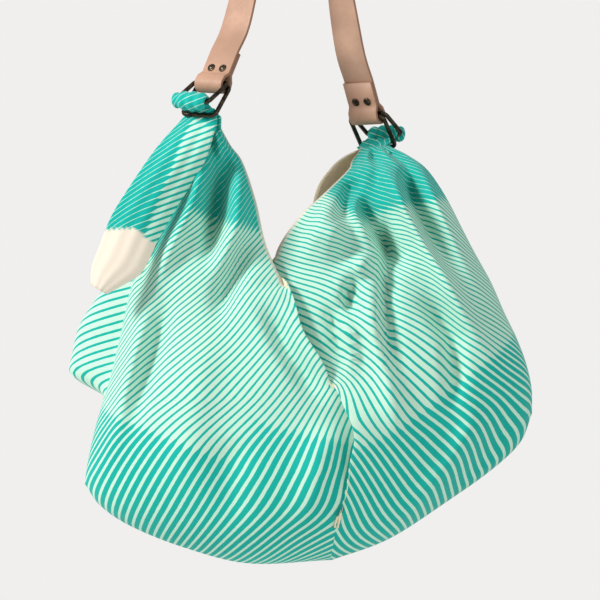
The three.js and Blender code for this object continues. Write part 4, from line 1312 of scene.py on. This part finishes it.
@dataclass
class DrawnCorner:
    """A drawn-up corner: out of its neck behind the inner bar, round the outer bar, and down as a tail."""

    half: Half
    pouch: Pouch
    hang: tuple[float, float, float]
    tail_length: float = 180
    tail_width: float = 47
    tail_thickness: float = 5
    arc_steps: int = 30
    tail_rows: int = 70
    roll_half_turns: tuple[float, float] = (1.2, 2.8)
    neck_room: float = 1.35
    line_angle: float = 20
    line_bow: float = 9
    pleats: float = 7
    pleat_depth: float = 0.13
    outline: ShareTable = ShareTable("along outer inner arch", (
        (0, -0.62, 0.82, 0.2), (0.13, -0.76, 1, 0.28), (0.28, -0.9, 1, 0.3), (0.45, -1, 0.93, 0.26),
        (0.65, -1.05, 0.95, 0.2), (0.82, -0.86, 1.02, 0.16), (0.92, -0.72, 0.66, 0.12),
        (1, -0.42, 0.28, 0.08)))

    def build(self, materials: list[bpy.types.Material]) -> bpy.types.Object:
        """Makes the roll over the rings and its tail as one piece.

        Args:
            materials: Outside and reverse of the cloth.

        Returns:
            The piece.
        """
        grid = SkinGrid()
        for sections, along in (self._roll(), self._tail()):
            count = sections[0].shape[0]
            side = np.concatenate([np.linspace(-1, 1, count // 2), np.linspace(1, -1, count // 2)])
            grid_along, grid_side = np.meshgrid(along, side, indexing="ij")
            lay_tube(grid, sections, along=grid_along, side=grid_side)
        points, quads, facts = grid.arrays()
        along, side = facts["along"], facts["side"]
        angle = math.radians(self.line_angle) * -self.half.value
        sine, cosine = math.sin(angle), math.cos(angle)
        x, y, z = points.T
        lines = -x * sine + z * cosine + self.line_bow * np.maximum(0, -side) ** 2
        flat = np.stack([lines, x * cosine + z * sine + y], 1)
        border = side + 0.05 - 1.3 * (along - 0.25)
        pale = 0.1 + 0.5 * smooth(-0.1, 0.1, border) * smooth(0.0, 0.05, along)
        plain = smooth(0.645, 0.652, along - 0.05 * np.abs(side) + 0.03 * side)
        mesh = mesh_from_skin(points, quads, flat[quads], pale=pale, plain=plain)
        name = f"{self.half.name.lower()}_roll_and_tail"
        return finish_piece(mesh, name, [], materials[:1])

    def _section(self, centre: Vector, width: Vector, face: Vector, share: float = 1) -> np.ndarray:
        """A section of the rolled cloth, a share of its full width."""
        reach = SIZES.roll_half_width * share
        return bundle_ring(centre, width, face, -reach, reach, SIZES.roll_thickness, 0,
                           SIZES.roll_thickness * self.pleat_depth, pleats=self.pleats)

    def _roll(self) -> tuple[list[np.ndarray], np.ndarray]:
        """Sections from the neck up and round the outer ring's bar."""
        frame_ = FRAMES[self.half]
        down, face, _, bar = frame_.ring(1)
        inner = frame_.ring(-1)[3]
        middleward = frame_.width * -self.half.value
        sections = []
        for along, narrow in ((0.12, 0.3), (0.08, 0.65), (0.04, 0.9)):
            ends = [Vector(self.pouch.panel(self.half, Face.FRONT, np.array(column), np.array(along)))
                    for column in (0.0, 1.0)]
            sections.append(self._section((ends[0] + ends[1]) / 2, middleward, frame_.clothward, narrow))
        behind = SIZES.roll_radius + self.neck_room * SIZES.roll_thickness
        sections.append(self._section(inner + frame_.clothward * behind, middleward, frame_.clothward))
        for step in range(self.arc_steps + 1):
            angle = math.pi * mix(*self.roll_half_turns, step / self.arc_steps)
            outward = (face * math.cos(angle) + down * math.sin(angle)).normalized()
            puff = 1 + 0.1 * math.sin(math.pi * step / self.arc_steps)
            sections.append(self._section(bar + outward * SIZES.roll_radius, middleward, outward, puff))
        return sections, np.zeros(len(sections))

    def _tail(self) -> tuple[list[np.ndarray], np.ndarray]:
        """Sections over and behind the inner ring's bar and down to the tip, with their shares of the way."""
        frame_, sign = FRAMES[self.half], self.half.value
        down, face, _, bar = frame_.ring(-1)
        middleward = frame_.width * -sign
        sections = []
        for turns in (0.1, 0.2, 0.3):
            outward = face * math.cos(turns * math.tau) - down * math.sin(turns * math.tau)
            sections.append(self._section(bar + outward * SIZES.roll_radius, middleward, -outward))
        root = bar + frame_.clothward * SIZES.roll_radius
        hang = Vector((sign * self.hang[0], sign * self.hang[1], -self.hang[2])).normalized()
        places = np.linspace(0, 1, self.tail_rows + 1)
        for along in places:
            free, opened = float(smooth(0, 0.35, along)), float(smooth(-0.05, 0.2, along))
            width = across(hang, middleward.lerp(Vector((-sign, 0, 0)), free))
            outer, inner, arch = (float(self.outline.read(name, along)) * self.tail_width / 2
                                  for name in ("outer", "inner", "arch"))
            thickness = mix(SIZES.roll_thickness, self.tail_thickness, free)
            thickness *= 0.5 + 0.5 * float(smooth(1, 0.94, along))
            uneven = SIZES.roll_thickness * mix(0.12, 0.03, along)
            sections.append(bundle_ring(root + hang * along * self.tail_length, width, hang.cross(width),
                                        outer, inner, thickness, arch * opened, uneven))
        return sections, np.concatenate([np.zeros(3), places])


@dataclass
class MouthKnot:
    """The knot of the other two corners, inside the mouth: a band, a wrapped lump and two ends."""

    pouch: Pouch
    size: float = 34
    end_length: float = 52
    drop_share: float = 0.06
    pale: float = 0.4
    points_round: int = 16

    def build(self, materials: list[bpy.types.Material]) -> bpy.types.Object:
        """Makes the knot as one piece of several bundles."""
        share, along = np.array([0.5]), np.array([self.pouch.mouth + self.drop_share])
        front, back = (Vector(self.pouch.pleat_strip(face, share, along)[0])
                       for face in (Face.FRONT, Face.BACK))
        low = (front + back) / 2 - Vector((0, 0, self.size * 0.3))
        grid = SkinGrid()
        self._band(grid, front, low, back)
        heart = (front + back) / 4 + low / 2
        self._wrap(grid, heart)
        for sign in (-1, 1):
            self._end(grid, heart, sign)
        points, quads, _ = grid.arrays()
        flat = points @ np.array([[0.6, 0.8], [0.4, 0.2], [0.8, -0.6]])
        pale, plain = np.full(len(points), self.pale), np.zeros(len(points))
        mesh = mesh_from_skin(points, quads, flat[quads], pale=pale, plain=plain)
        return finish_piece(mesh, "mouth_knot", [], materials[:1])

    def _band(self, grid: SkinGrid, front: Vector, low: Vector, back: Vector) -> None:
        """The two drawn corners that meet across the mouth."""
        rings = []
        for t in np.linspace(0, 1, 33):
            point = front * (1 - t) ** 2 + low * 2 * t * (1 - t) + back * t**2
            tangent = ((low - front) * (1 - t) + (back - low) * t).normalized()
            side = across(tangent, Vector((1, 0, 0)))
            flare = mix(0.26, 0.42, abs(2 * t - 1) ** 2) * self.size
            rings.append(bundle_ring(point, side, side.cross(tangent), -flare, flare, self.size * 0.34,
                                     2, 1.2, self.points_round))
        lay_tube(grid, rings)

    def _wrap(self, grid: SkinGrid, heart: Vector) -> None:
        """The turns that close the knot."""
        for tilt, reach, thick in ((0.5, 0.4, 0.3), (-0.7, 0.32, 0.36)):
            turn = Matrix.Rotation(tilt, 3, "Z")
            rings = []
            for angle in np.linspace(0, math.tau, 40, endpoint=False):
                round_knot = Vector((math.cos(angle), 0.15 * math.sin(2 * angle), math.sin(angle)))
                outward = turn @ round_knot.normalized()
                side = turn @ Vector((0, 1, 0))
                centre, spread = heart + outward * self.size * reach, self.size * thick
                rings.append(bundle_ring(centre, side, outward, -spread, spread, self.size * 0.3,
                                         2, 1, self.points_round))
            lay_tube(grid, rings, closed=True)

    def _end(self, grid: SkinGrid, heart: Vector, sign: int) -> None:
        """One free end of the knot."""
        hang = Vector((sign * 0.62, sign * 0.2, -0.76)).normalized()
        width = across(hang, Vector((0, 1, 0)))
        rings = []
        for share in np.linspace(0, 1, 22):
            spread = self.size * mix(0.25, 0.5, math.sin(share * math.pi))
            centre = heart + hang * share * self.end_length
            rings.append(bundle_ring(centre, width, width.cross(hang), -spread, spread,
                                     mix(self.size * 0.3, 3, share), 3.4, 0.8, self.points_round))
        lay_tube(grid, rings)


@dataclass(frozen=True)
class Softbox:
    """A round light: its name, place, size and power."""

    name: str
    place: tuple[float, float, float]
    size: float
    power: float


@dataclass
class Studio:
    """Camera, pale floor and soft light."""

    distance: float = 4.0
    middle: float = -0.495
    picture_width: float = 0.54
    floor_drop: float = -0.83
    floor_radius: float = 0.75
    floor_colours: tuple[tuple[float, ...], ...] = (rgb(232, 231, 229), rgb(240, 239, 237))
    wall: tuple[float, ...] = rgb(240, 239, 238)
    shed_light: float = 0.55
    lights: tuple[Softbox, ...] = (Softbox("key_softbox", (-2.3, -1.35, 1.1), 0.8, 86),
                                   Softbox("fill_softbox", (1.9, -2.0, 0.4), 1.8, 17))

    def build(self) -> None:
        """Sets the studio up round the bag."""
        self._camera()
        self._floor()
        for softbox in self.lights:
            self._hang(softbox)
        bpy.context.scene.view_settings.view_transform = "Standard"
        self._room()

    def _room(self) -> None:
        """A pale room whose own light is weaker than it looks, so that the folds show."""
        world = bpy.data.worlds.new("pale_room")
        bpy.context.scene.world = world
        world.use_nodes = True
        tree = world.node_tree
        seen = tree.nodes["Background"]
        seen.inputs[0].default_value = self.wall
        shed = tree.nodes.new("ShaderNodeBackground")
        shed.inputs[0].default_value = self.wall
        shed.inputs[1].default_value = self.shed_light
        path, pick = tree.nodes.new("ShaderNodeLightPath"), tree.nodes.new("ShaderNodeMixShader")
        tree.links.new(path.outputs["Is Camera Ray"], pick.inputs[0])
        tree.links.new(shed.outputs[0], pick.inputs[1])
        tree.links.new(seen.outputs[0], pick.inputs[2])
        tree.links.new(pick.outputs[0], tree.nodes["World Output"].inputs[0])

    def _camera(self) -> None:
        """Puts the camera square in front of the bag."""
        data = bpy.data.cameras.new("front_camera")
        data.sensor_width = 36
        data.lens = data.sensor_width * self.distance / self.picture_width
        camera = bpy.data.objects.new("front_camera", data)
        camera.location = (0, -self.distance, self.middle)
        camera.rotation_euler = (math.pi / 2, 0, 0)
        bpy.context.scene.collection.objects.link(camera)
        bpy.context.scene.camera = camera

    def _floor(self) -> None:
        """Lays the floor, under the picture's lower edge."""
        build = bmesh.new()
        bmesh.ops.create_circle(build, cap_ends=True, segments=96, radius=self.floor_radius)
        bmesh.ops.translate(build, vec=(0, 0, self.floor_drop), verts=build.verts)
        mesh = bpy.data.meshes.new("pale_floor")
        build.to_mesh(mesh)
        build.free()
        nodes, shader = new_material("pale_floor", rgb(236, 235, 233))
        tone = nodes.noise(nodes.place(), 3, 3)
        colour = nodes.blend(tone, *self.floor_colours)
        mesh.materials.append(dress(nodes, shader, Base_Color=colour, Roughness=0.9))
        floor = bpy.data.objects.new("pale_floor", mesh)
        bpy.context.scene.collection.objects.link(floor)

    def _hang(self, softbox: Softbox) -> None:
        """Hangs a softbox that looks at the bag's middle."""
        data = bpy.data.lights.new(softbox.name, "AREA")
        data.shape, data.size, data.energy = "DISK", softbox.size, softbox.power
        light = bpy.data.objects.new(softbox.name, data)
        light.location = softbox.place
        aim = Vector((0, 0, self.middle)) - Vector(softbox.place)
        light.rotation_euler = aim.to_track_quat("-Z", "Y").to_euler()
        bpy.context.scene.collection.objects.link(light)


def main() -> None:
    """Builds the bag piece by piece."""
    logging.basicConfig(level=logging.INFO, format="%(name)s %(message)s")
    shared = SharedEffects()
    cotton = PrintedCotton()
    cloth = [cotton.outside(shared), cotton.inside(shared)]
    brass = DarkBrass().material(shared)
    Studio().build()
    RingHardware(FRAMES).build(brass)
    StrapRivets(FRAMES).build(brass)
    LeatherStrap(FRAMES).build(NaturalLeather().all(shared))
    pouch, printed = Pouch(), LinePrint()
    bag = pouch.build(printed, cloth)
    others = [DrawnCorner(L, pouch, (0.5, 0.0, 0.86)).build(cloth),
              DrawnCorner(R, pouch, (0.26, 0.06, 0.95)).build(cloth),
              MouthKnot(pouch).build(cloth)]


if __name__ == "__main__":
    main()
